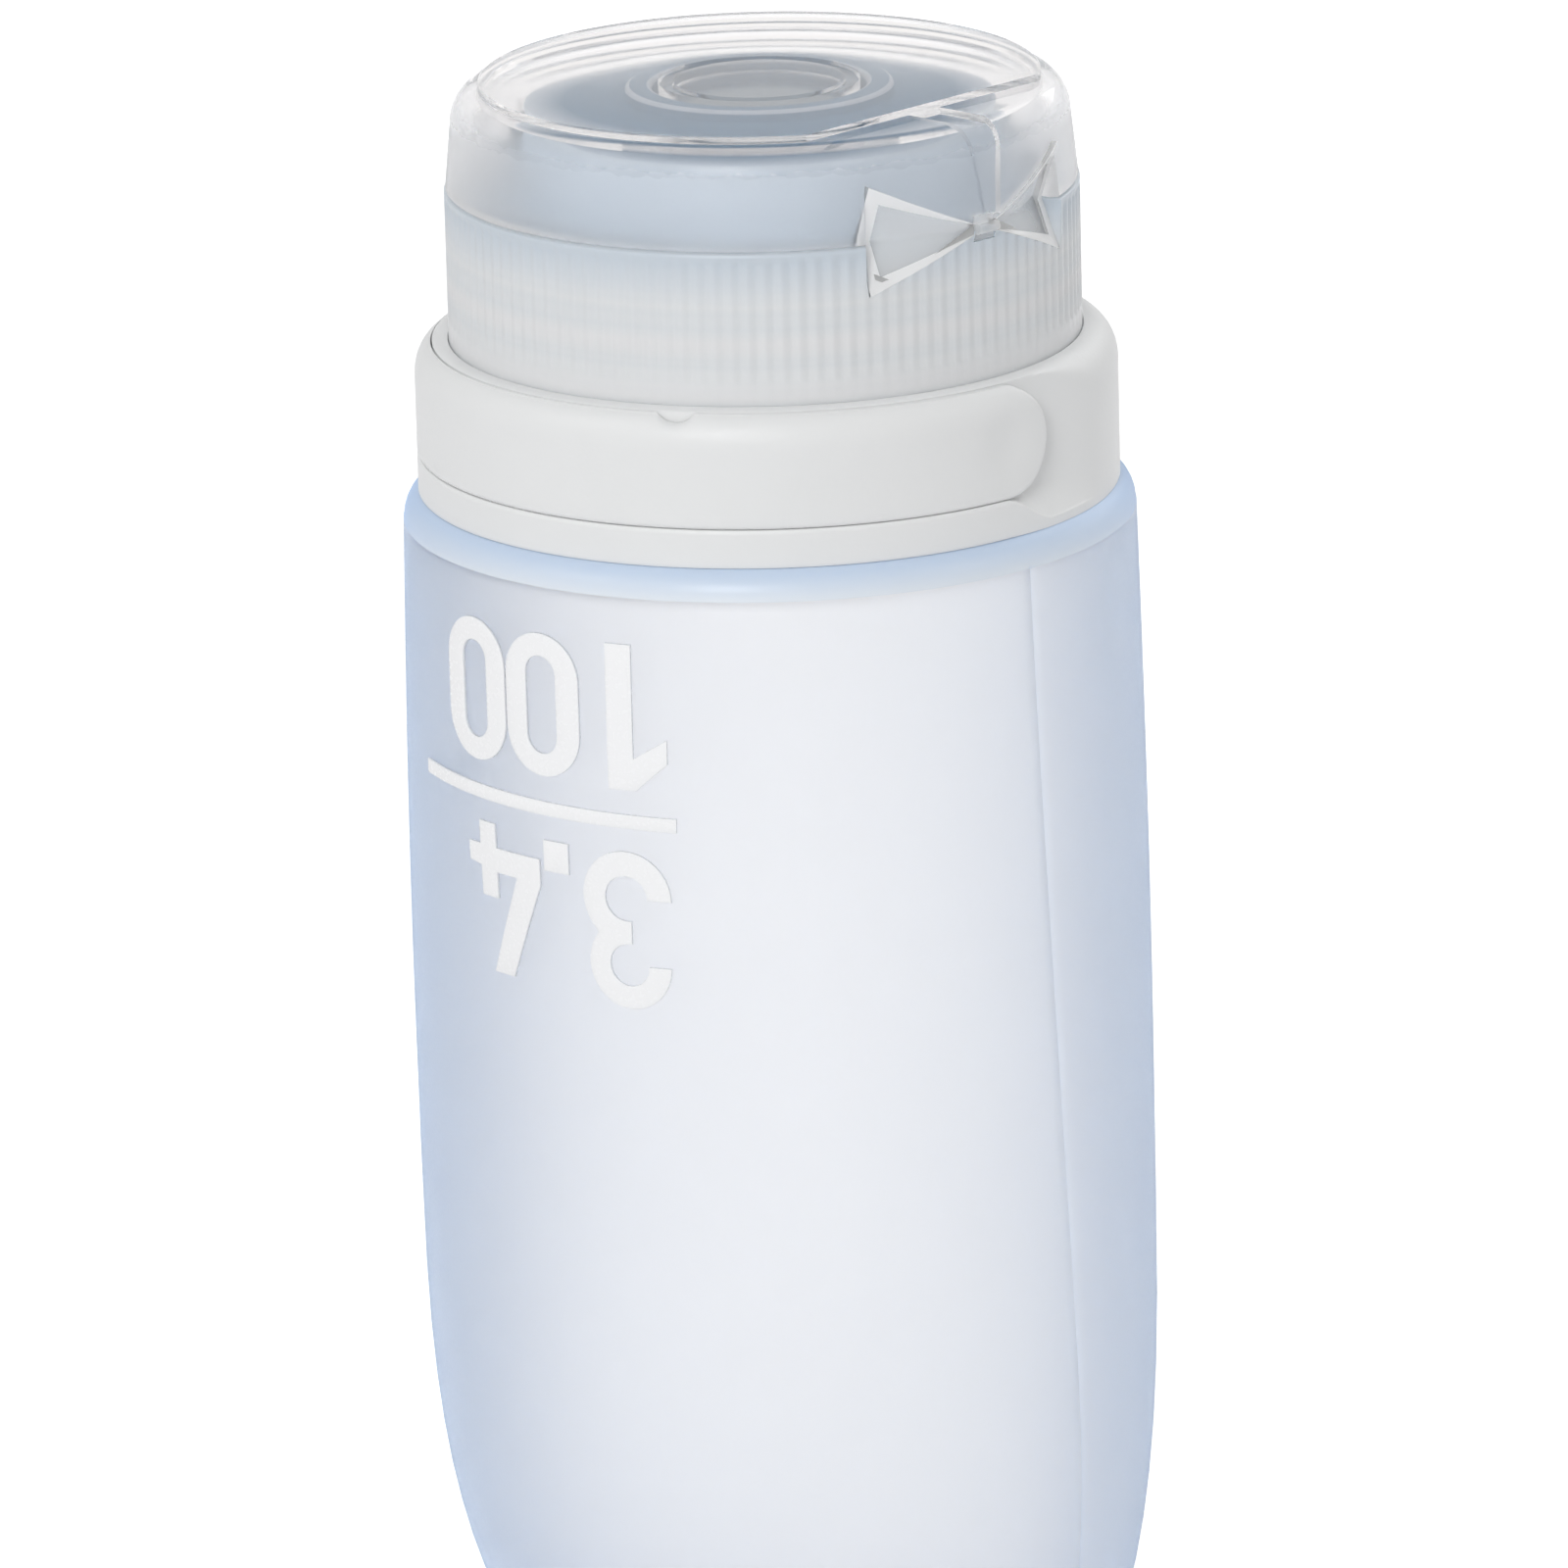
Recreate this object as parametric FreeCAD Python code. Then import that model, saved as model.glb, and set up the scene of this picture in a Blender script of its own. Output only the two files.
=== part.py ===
import FreeCAD, Part
import math
import os
from FreeCAD import Vector

os.makedirs("parts", exist_ok=True)

# A soft travel bottle that stands on its rounded end, cap up, hinge of the lid towards +X.
# Sizes are in mm. Heights named "_height" are counted from the collar's lower edge.

# Squeeze body: round under the collar, flattened to an oval towards its end
body_length = 86.0
top_radius = 22.95
bulge_swell = 0.52
bulge_depth = 36.0
end_half_thickness = 17.3
flattening_power = 1.6
dome_start = 45.0
dome_power = 3.0
foot_trim = 0.6
body_wall = 2.2
shoulder_round = 2.0
shoulder_rise = 0.3

# Screw cap and lid
cap_wall = 1.5
rib_count = 120
rib_depth = 0.22
rib_root_share = 0.36
rib_crest_share = 0.16
rib_lift = 1.38
skirt_rise = 9.55
split_gap = 0.1
lid_height = 6.73
lid_inset = 0.1
lid_wall = 1.3
lid_taper = 0.4
lid_plate = 1.1
lid_round_width = 1.75
lid_round_height = 2.15
lid_inner_round = 1.2
step_inset = 5.8
step_depth = 0.45
shoulder_plate = 1.92
plateau_inset = 4.8
plateau_wall = 1.3
deck_drop = 2.4
deck_plate = 1.2
spout_radius = 8.4
spout_wall = 1.7
spout_seat = 0.5
spout_gap = 0.2
plug_gap = 0.4
plug_wall = 1.0
plug_depth = 0.9

# Thread between cap and neck ring
thread_pitch = 3.2
thread_depth = 0.9
thread_root_gap = 0.4
thread_tip_gap = 0.3
thread_base = 1.5
thread_crest = 0.8
thread_play = 0.25
thread_turns = 1.2
thread_lift = 1.7

# Neck ring, gasket, valve and its retainer
neck_wall = 2.0
seal_room = 1.3
neck_tail = 2.2
tail_taper = 0.5
tail_taper_height = 0.8
flange_plate = 0.95
flange_gap = 0.2
bead_bevel = 0.5
skirt_tuck = 0.52
skirt_lift = 0.2
gasket_gap = 0.05
gasket_inset = 0.2
gasket_foot = 0.6
gasket_bevel = 0.3
valve_hole = 5.0
valve_gap = 0.15
valve_wall = 0.65
valve_flange = 0.9
valve_flange_radius = 7.9
valve_rise = 0.9
valve_sag = 0.55
valve_skin = 0.5
slit_width = 0.12
slit_length = 5.0
retainer_plate = 0.85
retainer_bore = 5.6
retainer_radius = 8.2
retainer_bevel = 0.3
socket_wall = 0.95

# Collar and loop strap
collar_inset = 0.95
collar_wall = 2.2
collar_height = 9.72
collar_round_width = 1.7
collar_round_height = 2.2
collar_lip = 0.9
waist_gap = 0.2
waist_depth = 1.65
lip_wall = 0.75
skirt_gap = 0.3
band_height = 2.45
strap_gap = 0.1
tip_angle = 8.0
root_angle = -165.0
root_step = 1.2
root_bar_sweep = 2.0
root_bar_inset = 0.1
scoop_start = 9.0
scoop_stop = 26.0
scoop_foot = 0.7
scoop_clear = 0.02
pivot_inset = 0.7
peg_radius = 0.4
peg_gap = 0.05
peg_length = 1.0
knuckle_radius = 0.6
knuckle_gap = 0.1
lug_drop = 2.62
lug_radius = 1.1
lug_gap = 0.2
notch_angle = -59.0
notch_radius = 1.6
notch_depth = 0.6
dish_radius = 14.0
dish_depth = 0.3

# Butterfly hinge of the lid
hinge_reach = 0.1
web_inset = 0.2
strip_half_width = 0.85
strip_half_height = 0.75
strip_plate = 0.4
bead_radius = 0.35
wing_stop = 24.3
wing_overrun = 1.15
wing_height_in = 0.35
wing_height_out = 3.3
wing_fold = 1.3
wing_plate = 0.45
wing_point = 0.5
wing_gap = 0.1
groove_top = 1.45
groove_foot = 0.55
groove_depth = 0.45
thumb_half_angle = 15.0
thumb_side_angle = 1.0
thumb_reach = 1.0
thumb_height = 1.3
recess_depth = 0.7
recess_height = 2.3

# Small gap between pieces that sit on each other, and the bevel of a moulded edge
fit_gap = 0.05
edge_break = 0.4

# How far fused shapes run into each other, and how far a cut runs past what it cuts
weld = 0.5
thread_weld = 0.1
cut_room = 1.0

# Sizes that follow from those above
full_length = body_length + foot_trim
bulge_radius = top_radius + bulge_swell
collar_radius = top_radius - collar_inset
cap_radius = collar_radius - collar_wall
split_height = collar_height + skirt_rise
lid_top_height = split_height + lid_height
rib_foot_height = collar_height + rib_lift
step_distance = cap_radius - step_inset
plateau_radius = cap_radius - plateau_inset
pivot_radius = collar_radius - pivot_inset
lug_height = collar_height - lug_drop
cap_bore = cap_radius - cap_wall
neck_radius = cap_bore - thread_root_gap - thread_depth
mouth_radius = neck_radius - neck_wall
rim_bore = cap_radius + skirt_gap
pocket_radius = rim_bore + lip_wall
strap_inner = pocket_radius + strap_gap
bead_outer = rim_bore - fit_gap
waist_radius = bead_outer - waist_depth
skirt_foot = collar_height - skirt_tuck
flange_top = skirt_foot - skirt_lift
flange_foot = flange_top - flange_plate
bead_top = flange_foot - fit_gap
cap_top = split_height - split_gap / 2
lid_foot = split_height + split_gap / 2
inner_roof = cap_top - shoulder_plate
neck_top_height = inner_roof - seal_room
thread_start_height = skirt_foot + thread_lift
deck_top = lid_top_height - deck_drop
deck_foot = deck_top - deck_plate
lid_roof = lid_top_height - lid_plate
spout_bore = spout_radius - spout_wall
spout_top = lid_roof - spout_gap
lid_radius = cap_radius - lid_inset
hinge_x = cap_radius + hinge_reach
axis_z = Vector(0, 0, 1)
centre = Vector(0, 0, 0)


def at(radius, height):
    """A point of a turned profile, its height counted from the collar's lower edge."""
    return Vector(radius, 0, body_length + height)


def plan(radius, angle, height=0.0):
    """A point given by its distance from the bottle's axis and its angle from +X."""
    turn = math.radians(angle)
    return Vector(radius * math.cos(turn), radius * math.sin(turn), body_length + height)


def lines(corners):
    """Straight edges from corner to corner."""
    return [Part.makeLine(a, b) for a, b in zip(corners, corners[1:])]


def turned(edges, sweep=360.0):
    """The solid that a closed profile sweeps around the bottle's axis."""
    face = Part.Face(Part.Wire(edges))
    return face.revolve(centre, axis_z, sweep)


def ring(inner, outer, low, high, start=0.0, sweep=360.0):
    """A ring, or a sector of one that begins at an angle."""
    corners = [at(inner, low), at(outer, low), at(outer, high), at(inner, high), at(inner, low)]
    solid = turned(lines(corners), sweep)
    solid.rotate(centre, axis_z, start)
    return solid


def rounded(outer, top, width, height):
    """Quarter ellipse of a shoulder, from its upper end to its outer end."""
    middle = at(outer - width, top - height)
    curve = Part.Ellipse(middle + Vector(0, 0, height), middle + Vector(width, 0, 0), middle)
    return Part.ArcOfEllipse(curve, 0, math.pi / 2).toShape()


def post(radius, low, high, distance, angle):
    """An upright cylinder at a place around the bottle's axis."""
    return Part.makeCylinder(radius, high - low, plan(distance, angle, low), axis_z)


def helix_ridge(start, root, tip, turns):
    """A ridge of the thread, from its root radius to its tip radius."""
    profile = Part.makePolygon([
        Vector(root, 0, -thread_base / 2),
        Vector(tip, 0, -thread_crest / 2),
        Vector(tip, 0, thread_crest / 2),
        Vector(root, 0, thread_base / 2),
        Vector(root, 0, -thread_base / 2),
    ])
    path = Part.makeHelix(thread_pitch, thread_pitch * turns, root)
    ridge = Part.Wire(path.Edges).makePipeShell([profile], True, True)
    ridge.translate(Vector(0, 0, body_length + start))
    return ridge


def save(shape, name):
    """One solid per piece, written under the piece's own name."""
    solids = shape.Solids
    if len(solids) != 1 or not solids[0].isValid():
        raise RuntimeError("%s has %d solids" % (name, len(solids)))
    solids[0].exportStep("parts/%s.step" % name)


# Squeeze body: an oval tube at constant girth, closed by a dome with a small flat foot
def body_axes(depth, inset):
    """Half axes of the oval at a depth below the collar."""
    swell = math.sin(math.pi / 2 * min(max(depth, 0.0) / bulge_depth, 1.0))
    mean = top_radius + (bulge_radius - top_radius) * swell
    share = max(depth, 0.0) / full_length
    short = mean - (mean - end_half_thickness) * share ** flattening_power
    wide = math.sqrt(2 * mean ** 2 - short ** 2)
    along = max(0.0, (depth - dome_start) / (full_length - inset - dome_start))
    dome = (1 - along ** dome_power) ** (1 / dome_power)
    return wide * dome - inset * dome, short * dome - inset * dome


def body_skin(top, inset):
    """The body's outline, or the hollow inside it."""
    end = body_length - inset
    last = (end - dome_start) / (full_length - inset - dome_start)
    last_turn = math.asin(last ** (dome_power / 2))
    depths = [-top + (dome_start + top) * i / 6 for i in range(6)]
    for i in range(13):
        along = math.sin(last_turn * i / 12) ** (2 / dome_power)
        depths.append(dome_start + along * (full_length - inset - dome_start))
    ovals = []
    for depth in reversed(depths):
        wide, short = body_axes(depth, inset)
        if wide - short < 0.001:
            wide = short + 0.001
        oval = Part.Ellipse(Vector(0, 0, body_length - depth), wide, short)
        ovals.append(Part.Wire([oval.toShape()]))
    return Part.makeLoft(ovals, True, False)


outer_skin = body_skin(shoulder_rise, 0.0)
top_edge = max(outer_skin.Edges, key=lambda e: e.BoundBox.ZMin)
outer_skin = outer_skin.makeFillet(shoulder_round, [top_edge])
neck = turned(lines([
    at(neck_radius - weld, shoulder_rise - weld),
    at(waist_radius, shoulder_rise - weld),
    at(waist_radius, shoulder_rise + collar_lip + 3 * fit_gap),
    at(bead_outer - edge_break, shoulder_rise + collar_lip + 3 * fit_gap),
    at(bead_outer, shoulder_rise + collar_lip + 3 * fit_gap + edge_break),
    at(bead_outer, bead_top - bead_bevel),
    at(bead_outer - bead_bevel, bead_top),
    at(neck_radius - weld, bead_top),
    at(neck_radius - weld, shoulder_rise - weld),
]))
hollow = body_skin(shoulder_rise - body_wall, body_wall)
bore = ring(0.0, neck_radius + fit_gap, -body_wall - cut_room, bead_top + cut_room)
bottle_body = outer_skin.fuse(neck).cut(hollow).cut(bore)
save(bottle_body, "bottle_body")

# Neck ring: a rigid tube pressed into the soft neck, with a flange and the outer thread
neck_tube = turned(lines([
    at(mouth_radius, -neck_tail),
    at(neck_radius - tail_taper, -neck_tail),
    at(neck_radius, -neck_tail + tail_taper_height),
    at(neck_radius, flange_foot),
    at(rim_bore - flange_gap, flange_foot),
    at(rim_bore - flange_gap, flange_top),
    at(neck_radius, flange_top),
    at(neck_radius, neck_top_height - edge_break),
    at(neck_radius - edge_break, neck_top_height),
    at(mouth_radius + edge_break, neck_top_height),
    at(mouth_radius, neck_top_height - edge_break),
    at(mouth_radius, -neck_tail),
]))
male_ridge = helix_ridge(
    thread_start_height, neck_radius - thread_weld, neck_radius + thread_depth, thread_turns)
save(neck_tube.fuse(male_ridge), "neck_ring")

# Collar: a ring snapped over the neck bead, with a pocket, a finger scoop and a pivot for the strap
seat_middle = at(top_radius - shoulder_round, shoulder_rise - shoulder_round)
seat_radius = shoulder_round + fit_gap
seat_reach = collar_radius - (top_radius - shoulder_round)
seat_mid_turn = math.asin(seat_reach / seat_radius) / 2
seat_end = seat_middle + Vector(seat_reach, 0, math.sqrt(seat_radius ** 2 - seat_reach ** 2))
seat_half = seat_middle + Vector(
    seat_radius * math.sin(seat_mid_turn), 0, seat_radius * math.cos(seat_mid_turn))
seat_start = seat_middle + Vector(0, 0, seat_radius)
collar_lip_foot = shoulder_rise + fit_gap
collar_shoulder = rounded(collar_radius, collar_height, collar_round_width, collar_round_height)
collar_profile = [
    Part.makeLine(at(waist_radius + waist_gap, collar_lip_foot), seat_start),
    Part.Arc(seat_start, seat_half, seat_end).toShape(),
    Part.makeLine(seat_end, at(collar_radius, collar_height - collar_round_height)),
    collar_shoulder,
] + lines([
    at(collar_radius - collar_round_width, collar_height),
    at(rim_bore, collar_height),
    at(rim_bore, collar_lip_foot + collar_lip),
    at(waist_radius + waist_gap, collar_lip_foot + collar_lip),
    at(waist_radius + waist_gap, collar_lip_foot),
])
collar_blank = turned(collar_profile)
outside = collar_radius + 2 * cut_room
above = collar_height + cut_room
strap_foot = band_height + strap_gap
tip_drop = ((strap_inner - collar_radius + collar_round_width) / collar_round_width) ** 2
strap_top = collar_height - collar_round_height * (1 - math.sqrt(1 - tip_drop))
tip_radius = (strap_top - strap_foot) / 2
tip_middle = (strap_top + strap_foot) / 2
tip_start = tip_angle - math.degrees(tip_radius / collar_radius)
pocket = ring(pocket_radius, outside, band_height, above, root_angle, scoop_start - root_angle)
lug = post(lug_radius, lug_height, above, pivot_radius, root_angle)
scoop_wires = []
for angle, floor, foot in ((tip_start, pocket_radius, band_height), (scoop_start, pocket_radius, scoop_foot),
                           (scoop_stop, collar_radius + scoop_clear, scoop_foot)):
    corners = [
        plan(floor, angle, band_height), plan(collar_radius + 2 * scoop_clear, angle, foot),
        plan(outside, angle, foot),
        plan(outside, angle, above), plan(floor, angle, above),
    ]
    scoop_wires.append(Part.makePolygon(corners + corners[:1]))
scoop = Part.makeLoft(scoop_wires, True, True)
socket = post(knuckle_radius + knuckle_gap, band_height, lug_height, pivot_radius, root_angle)
root_start = root_angle + root_step
root_reach = (plan(collar_radius, root_start) - plan(pivot_radius, root_angle)).Length
swing_room = post(root_reach + knuckle_gap, band_height, lug_height, pivot_radius, root_angle)
swing_room = swing_room.cut(ring(0.0, pocket_radius, 0.0, above))
peg_low = band_height - peg_length - peg_gap
peg_high = lug_height + peg_length + peg_gap
peg_hole = post(peg_radius + peg_gap, peg_low, peg_high, pivot_radius, root_angle)
collar = collar_blank.cut(pocket.cut(lug)).cut(scoop).cut(swing_room).cut(socket).cut(peg_hole)
save(collar, "collar")

# Loop strap: a strip of the collar's own outline, with a half-round tip and pegs at its root
strip = ring(strap_inner, outside, strap_foot, above, root_start, tip_start - root_start)
tip_disc = Part.makeCylinder(
    tip_radius, outside, plan(0.0, 0.0, tip_middle), plan(1.0, tip_start) - plan(0.0, 0.0))
tip_sweep = tip_angle - tip_start
tip_zone = ring(strap_inner, outside, strap_foot, above, tip_start - tip_sweep / 4, 1.5 * tip_sweep)
strip = strip.fuse(tip_disc.common(tip_zone))
strap = collar_blank.common(strip)
knuckle = post(knuckle_radius, strap_foot, lug_height - strap_gap, pivot_radius, root_angle)
root_bar = ring(strap_inner + fit_gap, collar_radius - root_bar_inset, strap_foot, lug_height - strap_gap,
                root_angle, root_bar_sweep)
head_room = post(lug_radius + lug_gap, lug_height - strap_gap, above, pivot_radius, root_angle)
peg = post(peg_radius, peg_low + peg_gap, peg_high - peg_gap, pivot_radius, root_angle)
notch_at = plan(0.0, 0.0, strap_top + notch_radius - notch_depth)
notch_way = plan(1.0, notch_angle) - plan(0.0, 0.0)
notch = Part.makeCylinder(notch_radius, outside, notch_at, notch_way)
dish_middle = plan(collar_radius + dish_radius - dish_depth, tip_start, tip_middle)
dish = Part.makeSphere(dish_radius, dish_middle)
loop_strap = strap.fuse(knuckle).fuse(root_bar).cut(head_room).fuse(peg).cut(notch).cut(dish)
save(loop_strap, "loop_strap")

# Butterfly hinge: the hollows that both wings and the middle strip lie in
web_face = cap_radius - web_inset
wing_start = math.degrees(math.asin((strip_half_width + fit_gap) / (web_face - wing_plate)))
wing_reach = cap_radius * math.sin(math.radians(wing_stop)) + wing_point


def hinge_side(mirror, corners_at, reach):
    """A folded solid on one side of the hinge, its far end pointed at the fold."""
    wires = []
    for share in (0.0, 0.5, wing_overrun):
        angle = mirror * (wing_start + (wing_stop - wing_start) * share)
        half = wing_height_in + (wing_height_out - wing_height_in) * share
        corners = corners_at(half, wing_fold * share)
        ring_of = [plan(radius, angle, split_height + height) for radius, height in corners]
        wires.append(Part.makePolygon(ring_of + ring_of[:1]))
    tall = 2 * wing_height_out
    corner_reach = reach - 2 * wing_point
    end_corners = []
    for side, height in ((0.0, -tall), (corner_reach, -tall), (reach, 0.0),
                         (corner_reach, tall), (0.0, tall), (0.0, -tall)):
        end_corners.append(at(cap_radius / 2, split_height + height) + Vector(0, mirror * side, 0))
    end = Part.Face(Part.makePolygon(end_corners)).extrude(Vector(cap_radius, 0, 0))
    return Part.makeLoft(wires, True, True).common(end)


def pocket_section(half, fold):
    floor = web_face - wing_plate - wing_gap
    return [
        (floor, -half), (outside, -half), (outside, half), (floor, half),
        (floor - fold, 0.0),
    ]


def wing_section(half, fold):
    edge = half - fit_gap / 2
    back = web_face - wing_plate
    return [
        (web_face, -edge), (web_face - fold, 0.0), (web_face, edge),
        (back, edge), (back - fold, 0.0), (back, -edge),
    ]


hinge_pockets = [hinge_side(mirror, pocket_section, wing_reach + wing_gap) for mirror in (1, -1)]
strip_back = web_face - strip_plate
strip_pocket = Part.makeBox(
    4 * cut_room, 2 * strip_half_width + 2 * fit_gap, 2 * strip_half_height + 2 * fit_gap,
    Vector(strip_back - fit_gap, -strip_half_width - fit_gap,
           body_length + split_height - strip_half_height - fit_gap))
hinge_hollows = hinge_pockets + [strip_pocket]

# Screw cap: a ribbed skirt with the inner thread, a raised deck, a spout ring and a valve socket
cap_blank = turned(lines([
    at(cap_bore, skirt_foot),
    at(cap_radius, skirt_foot),
    at(cap_radius, cap_top),
    at(plateau_radius, cap_top),
    at(plateau_radius, deck_top - edge_break),
    at(plateau_radius - edge_break, deck_top),
    at(spout_radius, deck_top),
    at(spout_radius, spout_top),
    at(spout_bore, spout_top),
    at(spout_bore, deck_foot + spout_seat),
    at(valve_hole, deck_foot + spout_seat),
    at(valve_hole, deck_foot),
    at(retainer_radius + fit_gap, deck_foot),
    at(retainer_radius + fit_gap, deck_foot - valve_flange - retainer_plate - 3 * fit_gap),
    at(retainer_radius + socket_wall, deck_foot - valve_flange - retainer_plate - 3 * fit_gap),
    at(retainer_radius + socket_wall, deck_foot),
    at(plateau_radius - plateau_wall, deck_foot),
    at(plateau_radius - plateau_wall, inner_roof),
    at(cap_bore, inner_roof),
    at(cap_bore, skirt_foot),
]))
female_start = thread_start_height - (thread_base + thread_crest) / 2 - thread_play
female_ridge = helix_ridge(
    female_start + thread_pitch / 4, cap_bore + thread_weld, neck_radius + thread_tip_gap, thread_turns)
female_ridge.rotate(centre, axis_z, 90.0)
pitch_angle = 360.0 / rib_count
star_corners = []
for rib in range(rib_count):
    for share, depth in ((-rib_root_share, rib_depth), (-rib_crest_share, 0.0),
                         (rib_crest_share, 0.0), (rib_root_share, rib_depth)):
        star_corners.append(plan(cap_radius - depth, (rib + 0.5 + share) * pitch_angle, rib_foot_height))
star = Part.Face(Part.makePolygon(star_corners + star_corners[:1]))
star = star.extrude(Vector(0, 0, cap_top + cut_room - rib_foot_height))
grooves = ring(cap_bore, cap_radius + cut_room, rib_foot_height, cap_top + cut_room).cut(star)
recess = ring(cap_radius - recess_depth, cap_radius + cut_room, cap_top - recess_height, cap_top + cut_room,
              180.0 - thumb_half_angle, 2 * thumb_half_angle)
cap_base = cap_blank.cut(grooves).cut(recess)
for hollow_part in hinge_hollows:
    cap_base = cap_base.cut(hollow_part)
cap_base = cap_base.fuse(female_ridge)
save(cap_base, "cap_base")


# Flip lid: a clear cup with a rounded shoulder, a raised plate cut straight at the hinge and a plug ring
def lid_outline(inset):
    """The lid's outside as a full solid, or the same shrunk inwards."""
    top = lid_top_height - inset
    rim = top - step_depth
    side = lid_radius - inset
    upper_side = side - lid_taper
    plate_side = upper_side - lid_round_width
    shoulder = rounded(upper_side, rim, lid_round_width, lid_round_height)
    edges = [
        Part.makeLine(at(0.0, lid_foot), at(side, lid_foot)),
        Part.makeLine(at(side, lid_foot), at(upper_side, rim - lid_round_height)),
        shoulder,
    ] + lines([at(plate_side, rim), at(plate_side, top), at(0.0, top), at(0.0, lid_foot)])
    return turned(edges)


plug_radius = spout_bore - plug_gap
upper_bore = lid_radius - lid_taper - lid_wall
lid_inside = turned(lines([
    at(0.0, lid_foot - cut_room),
    at(lid_radius - lid_wall, lid_foot - cut_room),
    at(lid_radius - lid_wall, lid_foot),
    at(upper_bore, lid_roof - lid_inner_round),
    at(upper_bore - lid_inner_round, lid_roof),
    at(plug_radius, lid_roof),
    at(plug_radius, lid_roof - plug_depth),
    at(plug_radius - plug_wall, lid_roof - plug_depth),
    at(plug_radius - plug_wall, lid_roof),
    at(0.0, lid_roof),
    at(0.0, lid_foot - cut_room),
]))
step = Part.makeBox(cap_radius, 2 * cap_radius, lid_height,
                    Vector(step_distance, -cap_radius, body_length + lid_top_height - step_depth))
groove_wires = []
for half, height in ((groove_foot, lid_foot), (groove_top, lid_top_height)):
    corners = [
        at(step_distance, height) + Vector(0, -half, 0), at(outside, height) + Vector(0, -half, 0),
        at(outside, height) + Vector(0, half, 0), at(step_distance, height) + Vector(0, half, 0),
    ]
    groove_wires.append(Part.makePolygon(corners + corners[:1]))
groove_zone = Part.makeLoft(groove_wires, True, True)
groove_floor = lid_outline(groove_depth).cut(step.translated(Vector(0, 0, -groove_depth)))
groove = groove_zone.cut(groove_floor)
thumb_lip = ring(lid_radius - lid_wall / 2, lid_radius + thumb_reach, lid_foot, lid_foot + thumb_height,
                 180.0 - thumb_half_angle + thumb_side_angle, 2 * (thumb_half_angle - thumb_side_angle))
flip_lid = lid_outline(0.0).fuse(thumb_lip).cut(step).cut(groove).cut(lid_inside)
for hollow_part in hinge_hollows:
    flip_lid = flip_lid.cut(hollow_part)
save(flip_lid, "flip_lid")

# Hinge strip: the film between lid and cap, with a bead along the line it folds on
film = Part.makeBox(
    strip_plate, 2 * strip_half_width, 2 * strip_half_height,
    Vector(strip_back, -strip_half_width, body_length + split_height - strip_half_height))
bead = Part.makeCylinder(
    bead_radius, 2 * strip_half_width,
    Vector(hinge_x, -strip_half_width, body_length + split_height), Vector(0, 1, 0))
save(film.fuse(bead), "hinge_strip")

# Hinge wings: thin webs, folded inwards while the lid is shut
save(hinge_side(1, wing_section, wing_reach), "hinge_wing_right")
save(hinge_side(-1, wing_section, wing_reach), "hinge_wing_left")

# Gasket: a flat seal between the neck ring's rim and the cap
cap_gasket = turned(lines([
    at(mouth_radius + gasket_inset, neck_top_height + gasket_gap),
    at(neck_radius + gasket_foot, neck_top_height + gasket_gap),
    at(cap_bore - gasket_bevel, neck_top_height + gasket_gap + gasket_bevel),
    at(cap_bore - gasket_bevel, inner_roof - gasket_gap),
    at(mouth_radius + gasket_inset, inner_roof - gasket_gap),
    at(mouth_radius + gasket_inset, neck_top_height + gasket_gap),
]))
save(cap_gasket, "cap_gasket")

# Valve: a soft flanged sleeve closed by a dished membrane with a cross slit
sleeve = valve_hole - valve_gap
flange_high = deck_foot - fit_gap
flange_low = flange_high - valve_flange
crown = deck_foot + valve_rise
middle = crown - valve_sag
valve_profile = [
    Part.Arc(at(0.0, middle), at(sleeve / 2, middle + valve_sag / 4), at(sleeve, crown)).toShape(),
] + lines([
    at(sleeve, crown),
    at(sleeve, flange_high),
    at(valve_flange_radius, flange_high),
    at(valve_flange_radius, flange_low),
    at(sleeve - valve_wall, flange_low),
    at(sleeve - valve_wall, middle - 0.2 * valve_skin),
]) + [
    Part.Arc(at(sleeve - valve_wall, middle - 0.2 * valve_skin), at(sleeve * 0.4, middle - 0.8 * valve_skin),
             at(0.0, middle - valve_skin)).toShape(),
    Part.makeLine(at(0.0, middle - valve_skin), at(0.0, middle)),
]
dispensing_valve = turned(valve_profile)
for length, width in ((slit_length, slit_width), (slit_width, slit_length)):
    slit = Part.makeBox(length, width, 3 * cut_room,
                        Vector(-length / 2, -width / 2, body_length + crown - 2 * cut_room))
    dispensing_valve = dispensing_valve.cut(slit)
save(dispensing_valve, "dispensing_valve")

# Valve retainer: a snap ring that presses the valve's flange against the deck
retainer_top = flange_low - fit_gap
retainer_foot = retainer_top - retainer_plate
valve_retainer = turned(lines([
    at(retainer_bore, retainer_foot),
    at(retainer_radius - retainer_bevel, retainer_foot),
    at(retainer_radius, retainer_foot + retainer_bevel),
    at(retainer_radius, retainer_top),
    at(retainer_bore + retainer_bevel, retainer_top),
    at(retainer_bore, retainer_top - retainer_bevel),
    at(retainer_bore, retainer_foot),
]))
save(valve_retainer, "valve_retainer")
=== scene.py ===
import math

import bmesh
import bpy
from mathutils import Matrix, Vector


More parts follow.
